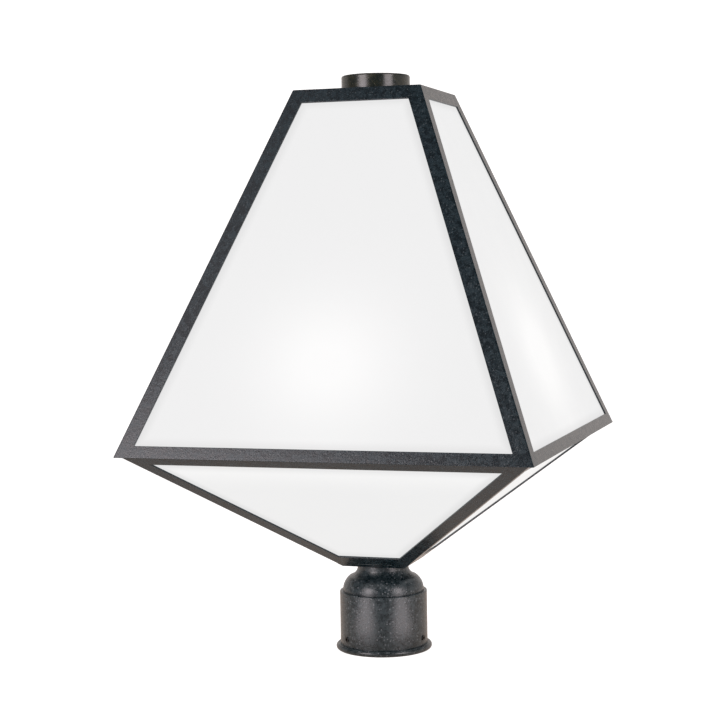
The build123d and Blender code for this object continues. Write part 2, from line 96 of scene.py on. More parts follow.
# Plate screws: half-width and reach of the cross recess's arms, how far each takes to end, the recess's
# depth as a share of the dome's height, the thread's depth, and the length and narrowest share of the tip.
RECESS_HALF, RECESS_HALF_END, RECESS_REACH, RECESS_REACH_END = 0.55 * MM, 0.2 * MM, 2.0 * MM, 0.4 * MM
RECESS_DEPTH = 0.6
SCREW_THREAD_DEPTH, SCREW_TIP, SCREW_TIP_SHARE = 0.35 * MM, 0.8 * MM, 0.7
DOME_POWER = 0.6

PIPE_CHAMFER = 0.5 * MM  # at both ends
CAP_STEP = 0.3 * MM  # rise of the shoulder between a cap's thread and its collar
CAP_FOOT_DEPTH = 1.5  # how far a cap's barrel draws in at its foot, in depths of its thread
# Half sections of a cap's contact and insulator: radius, and height above the cap's foot.
CAP_CONTACT = np.array([(0.0, 0.0), (1.7, 0.0), (2.2, 0.25), (2.3, 0.7), (0.0, 0.7)]) * MM
CAP_INSULATOR = np.array([(0.0, 0.7), (2.35, 0.7), (2.8, 1.0), (4.9, 3.1), (5.1, 3.5), (5.1, 4.0),
                          (0.0, 4.0)]) * MM

# Lamp light: depth below the lit height over which distance comes to count for less, and that least count;
# heights over the rim between which the cup's shade gives way to full light.
CUP_DEPTH, CUP_COUNT = 45.0 * MM, 0.75
LAMP_OUT = 0.5  # where a lamp's light comes from, as a share of its bulb's distance from the axis
SHADE_LOW, SHADE_HIGH = -34.0 * MM, 8.0 * MM
CLOUD_LIGHT = 0.06  # share of lamp light that the opal's thinner clouds let through anywhere
BAR_SHADE = 0.5  # share of the shaded tone right beside a bar
LOWER_LEAST = 0.22  # least share of lamp light on the lower panes, which face the white cup
FILAMENT, FILAMENT_FADE = 0.42, 0.55  # its height in a bulb, and the height its light fades over, as shares

# Softboxes: name, azimuth and elevation in degrees, distance, width and height, and power by its property
# and the share of it.
SOFTBOXES = (
    ("left softbox", -27.0, 10.9, 2.0, 0.95, 1.20, "left_power", 1.0),
    ("left softbox above", -44.0, 40.0, 2.0, 0.80, 0.70, "left_power", 0.08),
    ("right softbox", 61.0, 12.5, 2.2, 1.00, 1.35, "right_power", 1.0),
    ("light above", 150.0, 72.0, 2.2, 1.40, 1.40, "above_power", 1.0),
)
# Light cards: name and azimuth. They lie on the floor beside the fitter and shine up.
CARDS = (("left card", -27.3), ("right card", 60.2))
CARD_DISTANCE, CARD_WIDTH, CARD_LENGTH, CARD_HEIGHT = 0.32, 0.12, 0.44, 0.004
THROWN_NEAR, THROWN_FAR = 0.25, 0.9  # distances from the axis between which the floor's light changes
THROWN_FRONT, THROWN_BACK = -0.30, 0.08  # the same, from the front backwards
SENSOR = 36.0  # the camera's, in mm


# --- What a user may change ---------------------------------------------------------------------------


def length(name, description, default):
    """A property for a length in metres."""
    return FloatProperty(name=name, description=description, default=default, subtype="DISTANCE",
                         unit="LENGTH", precision=5, min=0.0)


def tone(name, description, default):
    """A property for a linear colour."""
    return FloatVectorProperty(name=name, description=description, default=default, subtype="COLOR",
                               size=3, min=0.0, max=1.0)


def share(name, description, default):
    """A property for a share between none and all."""
    return FloatProperty(name=name, description=description, default=default, subtype="FACTOR",
                         min=0.0, max=1.0)


def power(name, description, default):
    """A property for a light's power."""
    return FloatProperty(name=name, description=description, default=default, unit="POWER", min=0.0)


def angle(name, description, degrees):
    """A property for an angle, given in degrees."""
    return FloatProperty(name=name, description=description, default=math.radians(degrees),
                         subtype="ANGLE", unit="ROTATION")


class LanternBars(bpy.types.PropertyGroup):
    """Flat bars of both cages."""

    thickness: length("Thickness", "Thickness of every bar", 1.6 * MM)
    upper_leg: length("Upper Leg", "Width of each leg of an upper corner bar", 13.4 * MM)
    lower_leg: length("Lower Leg", "Width of each leg of a lower corner bar", 11.4 * MM)
    top_rail: length("Top Rail", "Width of the rails at the top edge", 12.6 * MM)
    rim_rail: length("Rim Rail", "Width of the upper cage's rails at the rim", 11.1 * MM)
    lower_top_rail: length("Lower Top Rail", "Width of the lower cage's rails at the rim", 11.6 * MM)
    lower_bottom_rail: length("Lower Bottom Rail", "Width of the rails at the foot", 12.4 * MM)
    shelf_width: length("Shelf Width", "Width of a rail's level leg", 11.0 * MM)
    nest_gap: length("Nest Gap", "Between the lower cage's shelf and the inside of the rim", 0.7 * MM)
    edge_round: length("Edge Round", "Rounding of the outer long edges", 0.45 * MM)
    bend_round: length("Bend Round", "Outer rounding of a corner bar's bend", 1.1 * MM)
    inner_round: length("Inner Round", "Rounding of the edges that face into the lantern", 0.25 * MM)
    joint_round: length("Joint Round", "Rounding where a rail butts against a corner bar", 0.06 * MM)


class LanternThreads(bpy.types.PropertyGroup):
    """Threads of the centre pipe, the lamp caps and the top plate's screws."""

    pipe_pitch: length("Pipe Pitch", "Rise of the pipe's thread in one turn", 1.0 * MM)
    pipe_depth: length("Pipe Depth", "Depth of the pipe's thread", 0.4 * MM)
    pipe_head_run: length("Head Run", "Length of thread at the pipe's upper end", 34.0 * MM)
    pipe_foot_run: length("Foot Run", "Length of thread from the pipe's foot up", 126.0 * MM)
    cap_pitch: length("Cap Pitch", "Rise of a lamp cap's thread in one turn", 2.54 * MM)
    cap_depth: length("Cap Depth", "Depth of a lamp cap's rolled thread", 0.5 * MM)
    cap_collar: length("Cap Collar", "Height of the plain collar above a cap's thread", 4.0 * MM)
    cap_tip: length("Cap Tip", "Height of the insulator and contact under a cap's barrel", 4.0 * MM)
    screw_head: length("Screw Head", "Radius of a plate screw's head", 3.6 * MM)
    screw_rise: length("Screw Rise", "Height of a plate screw's domed head", 1.1 * MM)
    screw_shank: length("Screw Shank", "Radius of a plate screw's thread", 2.0 * MM)
    screw_length: length("Screw Length", "Length of a plate screw under its head", 9.0 * MM)
    screw_pitch: length("Screw Pitch", "Rise of a plate screw's thread in one turn", 0.7 * MM)


class LanternPaint(bpy.types.PropertyGroup):
    """Mottled dark paint of the cages, the fitter and the knob."""

    dark: tone("Dark Tone", "The paint's darker clouds", (0.0015, 0.0060, 0.0090))
    light: tone("Light Tone", "The paint's lighter clouds", (0.0095, 0.0210, 0.0270))
    fleck: tone("Fleck", "Small light flecks in the paint", (0.0900, 0.1000, 0.1080))
    bar_fleck: tone("Bar Fleck", "The same flecks on the cages", (0.0400, 0.0540, 0.0600))
    cast_dark: tone("Cast Dark Tone", "Darker clouds on the fitter", (0.0020, 0.0065, 0.0085))
    cast_light: tone("Cast Light Tone", "Lighter clouds on the fitter", (0.0170, 0.0260, 0.0300))
    knob_dark: tone("Knob Dark Tone", "Darker clouds on the knob", (0.0050, 0.0100, 0.0080))
    knob_light: tone("Knob Light Tone", "Lighter clouds on the knob", (0.0215, 0.0235, 0.0130))
    cloud_size: length("Cloud Size", "Width of the paint's clouds", 5.0 * MM)
    fleck_size: length("Fleck Size", "Spacing of the flecks", 1.6 * MM)
    gloss_low: share("Gloss Low", "Roughness where the paint is smoothest", 0.23)
    gloss_high: share("Gloss High", "Roughness where the paint is dullest", 0.36)


class LanternGlass(bpy.types.PropertyGroup):
    """Opal panes, and the light that comes through them."""

    body: tone("Body", "What the opal glass reflects where it is thickest", (0.085, 0.085, 0.0845))
    thin: tone("Thin Body", "What it reflects where the opal layer is thinner", (0.080, 0.0805, 0.080))
    unlit: tone("Unlit Glow", "Light through the glass far from the lamps", (0.770, 0.776, 0.777))
    lit: tone("Lit Glow", "Light through the glass next to a lamp", (0.882, 0.884, 0.882))
    shaded: tone("Shaded Glow", "Light through the glass right beside a bar", (0.642, 0.647, 0.647))
    reach: length("Lamp Reach", "Distance at which a lamp's light counts whole", 145.0 * MM)
    fall: FloatProperty(name="Fall", description="Power by which lamp light falls off", default=14.0,
                        min=0.0)
    lit_low: length("Lit Low", "Foot of the lamps' lit height", 191.0 * MM)
    lit_high: length("Lit High", "Top of the lamps' lit height", 218.0 * MM)
    shade_width: length("Shade Width", "How far a bar shades the glass beside it", 8.0 * MM)
    bulb: tone("Bulb Glow", "A lit frosted bulb round its filament", (1.0, 0.88, 0.66))
    bulb_edge: tone("Bulb Edge", "A lit frosted bulb away from its filament", (0.86, 0.70, 0.50))


class LanternStudio(bpy.types.PropertyGroup):
    """Camera, floor and lights."""

    lens: length("Lens", "Focal length on a sensor 36 mm wide", 87.4021 * MM)
    azimuth: angle("Azimuth", "Camera's direction from the front towards the right", 17.976)
    elevation: angle("Elevation", "How far the camera looks down", 3.602)
    roll: angle("Roll", "Turn of the camera about its line of sight", -0.924)
    place: FloatVectorProperty(name="Place", description="Where the camera stands", subtype="XYZ",
                               unit="LENGTH", default=(0.476424, -1.527508, 0.367653))
    floor_radius: length("Floor Radius", "Radius of the level floor", 3.2)
    wall_radius: length("Wall Radius", "Radius of the round wall that the floor turns up into", 4.0)
    wall_height: length("Wall Height", "Height of the round wall", 2.0)
    floor_glow: tone("Floor Glow", "Light that the pale floor gives by itself", (0.93, 0.93, 0.93))
    floor_bounce: tone("Floor Bounce", "Light that the floor throws onto the lantern", (0.58, 0.535, 0.51))
    near_bounce: tone("Near Bounce", "The same light, close under the lantern", (0.55, 0.42, 0.33))
    front_bounce: tone("Front Bounce", "The same light, far in front of the lantern", (0.05, 0.05, 0.05))
    floor_body: tone("Floor Body", "What the pale floor reflects", (0.50, 0.49, 0.482))
    left_power: power("Left Power", "Power of the softbox at the front left", 27.0)
    right_power: power("Right Power", "Power of the softbox at the right", 28.0)
    above_power: power("Above Power", "Power of the light above", 9.0)
    card_power: power("Card Power", "Power of each lit card beside the fitter", 0.66)
    light: tone("Light", "Colour of the studio lights", (1.0, 0.905, 0.93))
    air: tone("Dark Air", "The unlit room above the wall", (0.10, 0.103, 0.106))


GROUPS = {
    "lantern_bars": LanternBars,
    "lantern_threads": LanternThreads,
    "lantern_paint": LanternPaint,
    "lantern_glass": LanternGlass,
    "lantern_studio": LanternStudio,
}


# --- Surfaces ------------------------------------------------------------------------------------------


def grid_faces(rows, columns):
    """Four-sided faces between neighbours of a grid of points whose columns close on themselves."""
    row, column = np.arange(rows - 1)[:, None], np.arange(columns)[None, :]
    following = (column + 1) % columns
    ring, above = row * columns, (row + 1) * columns
    return np.stack([ring + column, ring + following, above + following, above + column], -1).reshape(-1, 4)


def tube(sections):
    """A closed skin over a stack of closed outlines: sides from each outline to the next, and two lids."""
    rows, columns = sections.shape[:2]
    lids = [list(range(columns)), list(range((rows - 1) * columns, rows * columns))]
    return sections.reshape(-1, 3), grid_faces(rows, columns).tolist() + lids


def spun(radius, z, at=(0.0, 0.0)):
    """A closed surface of revolution: radius and z are rows of a half section by columns of an angle.

    Each point is at + radius * (cos angle, sin angle). The last row joins the first again.
    """
    rows, columns = radius.shape
    turn = np.linspace(0, 2 * np.pi, columns, endpoint=False)
    points = np.stack([at[0] + radius * np.cos(turn), at[1] + radius * np.sin(turn), z], -1).reshape(-1, 3)
    faces = grid_faces(rows, columns)
    first, last = np.arange(columns), (rows - 1) * columns + np.arange(columns)
    closing = np.stack([last, np.roll(last, -1), np.roll(first, -1), first], -1)
    return points, np.concatenate([faces, closing]).tolist()


def thread(radius, z, turn, z_from, z_to, pitch, depth):
    """Radius of a rolled thread: below the crest by depth times half of one minus the cosine of the helix
    phase, which is z over the pitch less the turn, faded out within a pitch of both ends."""
    phase = 2 * np.pi * z / pitch - turn
    fade = np.clip(np.minimum(z - z_from, z_to - z) / pitch, 0, 1)
    return radius - depth * fade * (1 - np.cos(phase)) / 2


def joined(shapes):
    """Several closed skins as one: their points in a row and their faces counted on."""
    points, faces, first = [], [], 0
    for places, corners in shapes:
        points.append(places)
        faces += [[first + index for index in face] for face in corners]
        first += len(places)
    return np.concatenate(points), faces


def turned(shape, side):
    """The shape turned about the lantern's axis by a number of quarter turns."""
    quarter = np.array([[0.0, 1.0, 0.0], [-1.0, 0.0, 0.0], [0.0, 0.0, 1.0]])
    return shape[0] @ np.linalg.matrix_power(quarter, side), shape[1]


def shifted(corners, insets):
    """A closed outline with each side moved inwards, side n running from corner n to the next.

    A corner moves to where its two moved sides cross: with inward normals a and b, whose dot product is
    c, and insets p and q, by (p (a - c b) + q (b - c a)) / (1 - c c).
    """
    along = np.roll(corners, -1, axis=0) - corners
    along /= np.linalg.norm(along, axis=1, keepdims=True)
    normal = np.stack([-along[:, 1], along[:, 0]], -1)
    before, q = np.roll(normal, 1, axis=0), insets[:, None]
    p = np.roll(insets, 1)[:, None]
    c = (before * normal).sum(1, keepdims=True)
    return corners + (p * (before - c * normal) + q * (normal - c * before)) / (1 - c * c)


def eased(corners, radii):
    """A closed outline whose corners are arcs, each tangent to both sides that meet there.

    An arc is the rational curve of second degree over its two tangent points and its corner, which is
    weighted by the sine of half the angle there.
    """
    before, after = np.roll(corners, 1, axis=0) - corners, np.roll(corners, -1, axis=0) - corners
    before /= np.linalg.norm(before, axis=1, keepdims=True)
    after /= np.linalg.norm(after, axis=1, keepdims=True)
    half = np.arccos((before * after).sum(1)) / 2
    tangent = (radii / np.tan(half))[:, None]
    t = np.linspace(0, 1, ARC_STEPS + 1)
    weights = np.stack([(1 - t) ** 2 + 0 * half[:, None], 2 * t * (1 - t) * np.sin(half)[:, None],
                        t**2 + 0 * half[:, None]], -1)
    weights /= weights.sum(-1, keepdims=True)
    ends = np.stack([corners + before * tangent, corners, corners + after * tangent], 1)
    return np.einsum("ctk,ckd->ctd", weights, ends).reshape(-1, 2)


def node_places(node):
    """A node's vertices as rows of x, y and z."""
    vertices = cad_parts[node].data.vertices
    places = np.empty(len(vertices) * 3, dtype=np.float32)
    vertices.foreach_get("co", places)
    return places.astype(float).reshape(-1, 3)


class Cage:
    """A square truncated pyramid, measured on its front right corner bar."""

    def __init__(self, bar):
        x, _, z = node_places(bar).T
        self.low_z, self.high_z = z.min(), z.max()
        self.low_half = x[z < self.low_z + NEAR].max()
        self.high_half = x[z > self.high_z - NEAR].max()
        self.rise, self.run = self.high_z - self.low_z, self.low_half - self.high_half
        self.face = math.hypot(self.rise, self.run)
        self.hip_stretch = math.hypot(self.face, self.run) / self.face

    def half_at(self, z, depth=0.0):
        """Half-width at a height, taken in by a depth square to the face."""
        return self.low_half - self.run * (z - self.low_z) / self.rise - depth * self.face / self.rise

    def on_front(self, x, along, depth):
        """Points of the front wall: x to the right, a length up the slope and a depth square to it."""
        y = -self.low_half + (along * self.run + depth * self.rise) / self.face
        z = self.low_z + (along * self.rise - depth * self.run) / self.face
        return np.stack(np.broadcast_arrays(x, y, z), -1)


def corner_bar(cage, leg, sizes, end_rounds):
    """An L section, level at every height, carried up the cage's edge, its level ends rounded outside.

    The section's corners are counted from the outer bend: right leg's end outside and inside, inner bend,
    front leg's end inside and outside. Near an end, both outer sides draw in along an arc.
    """
    wall = sizes.thickness * cage.face / cage.rise
    skew = sizes.thickness * cage.run**2 / (cage.face * cage.rise)
    reach = leg * cage.hip_stretch
    section = np.array([(0, 0), (0, reach), (-wall, reach + skew), (-wall, wall),
                        (-reach - skew, wall), (-reach, 0)])
    inner = sizes.inner_round
    radii = np.array([sizes.bend_round, sizes.joint_round, inner, 2 * inner, inner, sizes.joint_round])
    lean = cage.run / cage.rise
    heights, insets = [], []
    for level, inward, radius in ((cage.low_z, 1, end_rounds[0]), (cage.high_z, -1, end_rounds[1])):
        corner = np.array([(0.0, 0.0), (-wall, 0.0), (-lean * inward * wall, inward * wall)])
        arc = eased(corner, np.array([radius, 0, 0]))[:ARC_STEPS + 1]
        z, inset = level + arc[:, 1], -lean * arc[:, 1] - arc[:, 0]
        order = np.argsort(z)
        heights.append(z[order])
        insets.append(np.abs(inset[order]))
    heights, insets = np.concatenate(heights), np.concatenate(insets)
    rows = []
    for z, inset in zip(heights, insets):
        sides = np.array([inset, 0, 0, 0, 0, inset])
        half = cage.half_at(z)
        outline = eased(shifted(section, sides), radii) + (half, -half)
        rows.append(np.column_stack([outline, np.full(len(outline), z)]))
    return tube(np.array(rows))


def strip_rail(cage, leg, low, high, level_ends, sizes, rounds):
    """The sloping leg of a front rail: a flat bar between two lengths up the face.

    Its section, along the slope by depth, is swept from the left corner bar's leg to the right one's. An
    edge on a level end is cut level, so it lies further up the slope by depth * run / rise inside.
    """
    slip = sizes.thickness * cage.run / cage.rise
    corners = np.array([(low, 0.0), (high, 0.0), (high + slip * level_ends[1], sizes.thickness),
                        (low + slip * level_ends[0], sizes.thickness)])
    radii = np.array([rounds[0], rounds[1], sizes.inner_round, sizes.inner_round])
    steps = np.array([0.0, sizes.joint_round, -sizes.joint_round, 0.0])
    rows = []
    for place, step in zip((-1, -1, 1, 1), steps):
        inset = sizes.joint_round - abs(step)
        outline = eased(shifted(corners, np.full(4, inset)), radii)
        half = cage.low_half - cage.run * outline[:, 0] / cage.face - leg * cage.hip_stretch
        rows.append(cage.on_front(place * half + step, outline[:, 0], outline[:, 1]))
    return tube(np.array(rows))


def shelf(outer_low, outer_high, z_low, z_high, width, rounding):
    """The level leg of a front rail: a rectangle, by distance from the axis and height, mitred at 45
    degrees, so that x runs between plus and minus that distance."""
    inside = outer_low - width
    corners = np.array([(-outer_low, z_low), (-inside, z_low), (-inside, z_high), (-outer_high, z_high)])
    outline = eased(corners, np.full(4, rounding))
    y, z = outline.T
    return tube(np.array([np.column_stack([x, y, z]) for x in (y, -y)]))


def shelf_span(node):
    """Lowest and highest level of a rail's level leg, from the vertices furthest from its face."""
    _, y, z = node_places(node).T
    inside = z[y > y.max() - NEAR]
    return inside.min(), inside.max()


def add_piece(name, shape, body, finish, replaced):
    """A mesh object at the origin that stands for nodes of the frame, if any, its faces turned outwards.

    Its doubles are merged, its sharp edges marked, and its flat faces shaded flat.
    """
    points, faces = shape
    mesh = bpy.data.meshes.new(name)
    mesh.from_pydata(points.tolist(), [], faces)
    skin = bmesh.new()
    skin.from_mesh(mesh)
    bmesh.ops.remove_doubles(skin, verts=skin.verts, dist=MERGED)
    bmesh.ops.recalc_face_normals(skin, faces=skin.faces)
    skin.to_mesh(mesh)
    skin.free()
    mesh.polygons.foreach_set("use_smooth", np.ones(len(mesh.polygons), dtype=bool))
    mesh.set_sharp_from_angle(angle=SHARP)
    mesh.materials.append(finish)
    piece = bpy.data.objects.new(name, mesh)
    bpy.context.scene.collection.objects.link(piece)
    flats = piece.modifiers.new("flat faces", "WEIGHTED_NORMAL")
    flats.mode, flats.weight, flats.keep_sharp = "FACE_AREA", FLAT_WEIGHT, True
    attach(piece, body)
    if replaced:
        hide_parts(*replaced)
    return piece


def finish_nodes(finish, *nodes):
    """Gives a finish to nodes of the frame that keep their own shape."""
    for node in nodes:
        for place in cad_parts[node].material_slots:
            place.material = finish


# --- Node building -------------------------------------------------------------------------------------


def add_node(tree, kind, settings=None, **inputs):
    """A node with its settings, and its inputs by name, each a value or an output to link from."""
    node = tree.nodes.new(kind)
    for name, value in (settings or {}).items():
        setattr(node, name, value)
    for name, value in inputs.items():
        socket = node.inputs[int(name[1:]) if name[0] == "_" else name.replace("_", " ")]
        if isinstance(value, bpy.types.NodeSocket):
            tree.links.new(value, socket)
        else:
            socket.default_value = value
    return node


def new_group(name, inputs, outputs):
    """An empty shader node group with named sockets, and its input and output nodes."""
    tree = bpy.data.node_groups.new(name, "ShaderNodeTree")
    for label, kind in inputs.items():
        tree.interface.new_socket(label, in_out="INPUT", socket_type=kind)
    for label, kind in outputs.items():
        tree.interface.new_socket(label, in_out="OUTPUT", socket_type=kind)
    return tree, tree.nodes.new("NodeGroupInput").outputs, tree.nodes.new("NodeGroupOutput").inputs


def group(tree, built, **inputs):
    """A node group placed in a material, its inputs set by name."""
    return add_node(tree, "ShaderNodeGroup", {"node_tree": built}, **inputs).outputs


def math_node(tree, operation, first, second=0.0, clamp=False):
    """The outcome of one sum."""
    settings = {"operation": operation, "use_clamp": clamp}
    return add_node(tree, "ShaderNodeMath", settings, _0=first, _1=second).outputs[0]


def mix_colours(tree, amount, first, second):
    """A colour between two, by an amount from none to all."""
    settings = {"data_type": "RGBA"}
    return add_node(tree, "ShaderNodeMix", settings, _0=amount, _6=first, _7=second).outputs[2]


def spread(tree, value, low, high, to_low=0.0, to_high=1.0):
    """A value carried from one range to another, smoothly and held at both ends."""
    settings = {"interpolation_type": "SMOOTHSTEP"}
    return add_node(tree, "ShaderNodeMapRange", settings, Value=value, From_Min=low, From_Max=high,
                    To_Min=to_low, To_Max=to_high).outputs[0]


def noise(tree, place, scale, detail=2.0, roughness=0.5, distortion=0.0):
    """Cloudy values round a half, its scale in clouds to the metre."""
    return add_node(tree, "ShaderNodeTexNoise", {"normalize": True}, Vector=place, Scale=scale,
                    Detail=detail, Roughness=roughness, Distortion=distortion).outputs["Fac"]


def rgba(colour):
    """A colour with its alpha."""
    return (*colour, 1.0)


COLOUR, VALUE, VECTOR = "NodeSocketColor", "NodeSocketFloat", "NodeSocketVector"


def paint_group():
    """Mottled paint: clouds between two tones, with small light flecks, uneven gloss and an orange peel.

    The clouds are wide ones and finer ones, two to one. A fleck sits at the middle of a chosen share of
    scattered cells. The relief is a peel a little finer than the clouds, with the flecks standing on it.
    """
    tree, given, put = new_group(
        "Mottled Paint",
        {"Place": VECTOR, "Dark": COLOUR, "Light": COLOUR, "Fleck": COLOUR, "Cloud Scale": VALUE,
         "Fleck Scale": VALUE, "Flecks": VALUE, "Gloss Low": VALUE, "Gloss High": VALUE},
        {"Color": COLOUR, "Roughness": VALUE, "Height": VALUE},
    )
    wide = noise(tree, given["Place"], given["Cloud Scale"], 3.0, 0.6, 0.6)
    fine_scale = math_node(tree, "MULTIPLY", given["Cloud Scale"], 3.7)
    fine = noise(tree, given["Place"], fine_scale, 2.0, 0.6)
    clouds = math_node(tree, "ADD", math_node(tree, "MULTIPLY", wide, 0.65),
                       math_node(tree, "MULTIPLY", fine, 0.35))
    amount = spread(tree, clouds, 0.40, 0.60)
    base = mix_colours(tree, amount, given["Dark"], given["Light"])
    specks = add_node(tree, "ShaderNodeTexVoronoi", {"feature": "F1"}, Vector=given["Place"],
                      Scale=given["Fleck Scale"], Randomness=1.0)
    near = spread(tree, specks.outputs["Distance"], 0.06, 0.40, 1.0, 0.0)
    chance = add_node(tree, "ShaderNodeSeparateColor", None, Color=specks.outputs["Color"]).outputs[0]
    chosen = math_node(tree, "LESS_THAN", chance, given["Flecks"])
    mask = math_node(tree, "MULTIPLY", near, chosen)
    tree.links.new(mix_colours(tree, mask, base, given["Fleck"]), put["Color"])
    dullness = math_node(tree, "MULTIPLY", fine, amount)
    span = math_node(tree, "SUBTRACT", given["Gloss High"], given["Gloss Low"])
    rough = math_node(tree, "ADD", given["Gloss Low"], math_node(tree, "MULTIPLY", span, dullness))
    tree.links.new(math_node(tree, "ADD", rough, math_node(tree, "MULTIPLY", mask, 0.1)), put["Roughness"])
    peel = noise(tree, given["Place"], math_node(tree, "MULTIPLY", given["Cloud Scale"], 2.3), 2.0, 0.5)
    lumps = math_node(tree, "ADD", peel, math_node(tree, "MULTIPLY", fine, 0.6))
    tree.links.new(math_node(tree, "ADD", lumps, math_node(tree, "MULTIPLY", mask, 0.5)), put["Height"])
    return tree


def metal_group():
    """Worked metal: streaks across the height, cloudy tarnish between two tones, uneven gloss.

    The streaks are a noise squeezed along Z. They darken the metal by up to an eighth and are its relief.
    """
    tree, given, put = new_group(
        "Worked Metal",
        {"Place": VECTOR, "Bright": COLOUR, "Tarnish": COLOUR, "Streak Scale": VALUE,
         "Cloud Scale": VALUE, "Gloss Low": VALUE, "Gloss High": VALUE},
        {"Color": COLOUR, "Roughness": VALUE, "Height": VALUE},
    )
    stretched = add_node(tree, "ShaderNodeVectorMath", {"operation": "MULTIPLY"}, _0=given["Place"],
                         _1=(1.0, 1.0, 14.0)).outputs[0]
    streaks = noise(tree, stretched, given["Streak Scale"], 3.0, 0.65)
    clouds = noise(tree, given["Place"], given["Cloud Scale"], 4.0, 0.6, 0.4)
    tarnish = spread(tree, clouds, 0.42, 0.72)
    tone_now = mix_colours(tree, tarnish, given["Bright"], given["Tarnish"])
    shade = spread(tree, streaks, 0.3, 0.7, 0.88, 1.0)
    grey = add_node(tree, "ShaderNodeCombineColor", None, _0=shade, _1=shade, _2=shade).outputs[0]
    shaded = add_node(tree, "ShaderNodeMix", {"data_type": "RGBA", "blend_type": "MULTIPLY"}, _0=1.0,
                      _6=tone_now, _7=grey).outputs[2]
    tree.links.new(shaded, put["Color"])
    span = math_node(tree, "SUBTRACT", given["Gloss High"], given["Gloss Low"])
    uneven = math_node(tree, "MAXIMUM", tarnish, math_node(tree, "SUBTRACT", 1.0, shade))
    tree.links.new(math_node(tree, "ADD", given["Gloss Low"], math_node(tree, "MULTIPLY", span, uneven)),
                   put["Roughness"])
    tree.links.new(streaks, put["Height"])
    return tree


def plastic_group():
    """Moulded plastic, rubber or enamel: a faint cloudiness in tone and gloss over a fine grain."""
    tree, given, put = new_group(
        "Moulded Skin",
        {"Place": VECTOR, "Tone": COLOUR, "Shade": COLOUR, "Cloud Scale": VALUE, "Grain Scale": VALUE,
         "Gloss Low": VALUE, "Gloss High": VALUE},
        {"Color": COLOUR, "Roughness": VALUE, "Height": VALUE},
    )
    clouds = spread(tree, noise(tree, given["Place"], given["Cloud Scale"], 3.0, 0.55), 0.3, 0.7)
    grain = noise(tree, given["Place"], given["Grain Scale"], 2.0, 0.6)
    tree.links.new(mix_colours(tree, clouds, given["Tone"], given["Shade"]), put["Color"])
    span = math_node(tree, "SUBTRACT", given["Gloss High"], given["Gloss Low"])
    tree.links.new(math_node(tree, "ADD", given["Gloss Low"], math_node(tree, "MULTIPLY", span, grain)),
                   put["Roughness"])
    tree.links.new(grain, put["Height"])
    return tree


def lamp_light_group():
    """How much lamp light reaches a place: for each lamp, (reach / distance) to the power fall, summed.

    Distance is from the lamps' lit height. Below its top it counts for less, because the white cup throws
    light back, and below the rim the cup shades the glass.
    """
    tree, given, put = new_group(
        "Lamp Light",
        {"Place": VECTOR, "Reach": VALUE, "Fall": VALUE, "Lit Low": VALUE, "Lit High": VALUE, "Rim": VALUE},
        {"Light": VALUE},
    )
    place = add_node(tree, "ShaderNodeSeparateXYZ", None, Vector=given["Place"])
    z = place.outputs["Z"]
    held = math_node(tree, "MINIMUM", math_node(tree, "MAXIMUM", z, given["Lit Low"]), given["Lit High"])
    beyond = math_node(tree, "SUBTRACT", z, held)
    under = math_node(tree, "SUBTRACT", given["Lit High"], z)
    counts = spread(tree, under, 0.0, CUP_DEPTH, 1.0, CUP_COUNT)
    level = add_node(tree, "ShaderNodeCombineXYZ", None, X=place.outputs["X"], Y=place.outputs["Y"],
                     Z=beyond)
    total = 0.0
    for number in NUMBERS:
        low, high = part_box(f"lamp_bulb_{number}")
        middle = (LAMP_OUT * (low[0] + high[0]) / 2, LAMP_OUT * (low[1] + high[1]) / 2, 0.0)
        away = add_node(tree, "ShaderNodeVectorMath", {"operation": "DISTANCE"}, _0=level.outputs[0],
                        _1=middle).outputs["Value"]
        ratio = math_node(tree, "DIVIDE", given["Reach"], math_node(tree, "MULTIPLY", away, counts))
        total = math_node(tree, "ADD", math_node(tree, "POWER", ratio, given["Fall"]), total)
    above = math_node(tree, "SUBTRACT", z, given["Rim"])
    unshaded = spread(tree, above, SHADE_LOW, SHADE_HIGH)
    capped = math_node(tree, "MINIMUM", total, 1.0)
    tree.links.new(math_node(tree, "MULTIPLY", capped, unshaded), put["Light"])
    return tree


def edge_shade_group():
    """How much the bars shade the glass beside them, by distance from the nearest bar of its pane.

    On a square pyramid the larger of |x| and |y| is the half-width and the smaller lies along the pane, so
    their difference over the hip stretch is the distance from the corner, and less the leg, from its bar.
    """
    tree, given, put = new_group(
        "Edge Shade",
        {"Place": VECTOR, "Leg": VALUE, "Hip Stretch": VALUE, "Low": VALUE, "High": VALUE, "Width": VALUE},
        {"Shade": VALUE},
    )
    place = add_node(tree, "ShaderNodeSeparateXYZ", None, Vector=given["Place"])
    x, y = (math_node(tree, "ABSOLUTE", place.outputs[axis]) for axis in "XY")
    across = math_node(tree, "ABSOLUTE", math_node(tree, "SUBTRACT", x, y))
    from_corner = math_node(tree, "DIVIDE", across, given["Hip Stretch"])
    side = math_node(tree, "SUBTRACT", from_corner, given["Leg"])
    top = math_node(tree, "SUBTRACT", given["High"], place.outputs["Z"])
    foot = math_node(tree, "SUBTRACT", place.outputs["Z"], given["Low"])
    nearest = math_node(tree, "MINIMUM", math_node(tree, "MINIMUM", side, top), foot)
    share_in = math_node(tree, "DIVIDE", nearest, given["Width"])
    tree.links.new(spread(tree, share_in, 0.0, 1.0, 1.0, 0.0), put["Shade"])
    return tree


def object_place(tree):
    """Object coordinates."""
    return add_node(tree, "ShaderNodeTexCoord").outputs["Object"]


def new_material(name):
    """A material with its node tree and its main shader."""
    made = bpy.data.materials.new(name)
    made.use_nodes = True
    return made, made.node_tree, made.node_tree.nodes["Principled BSDF"]


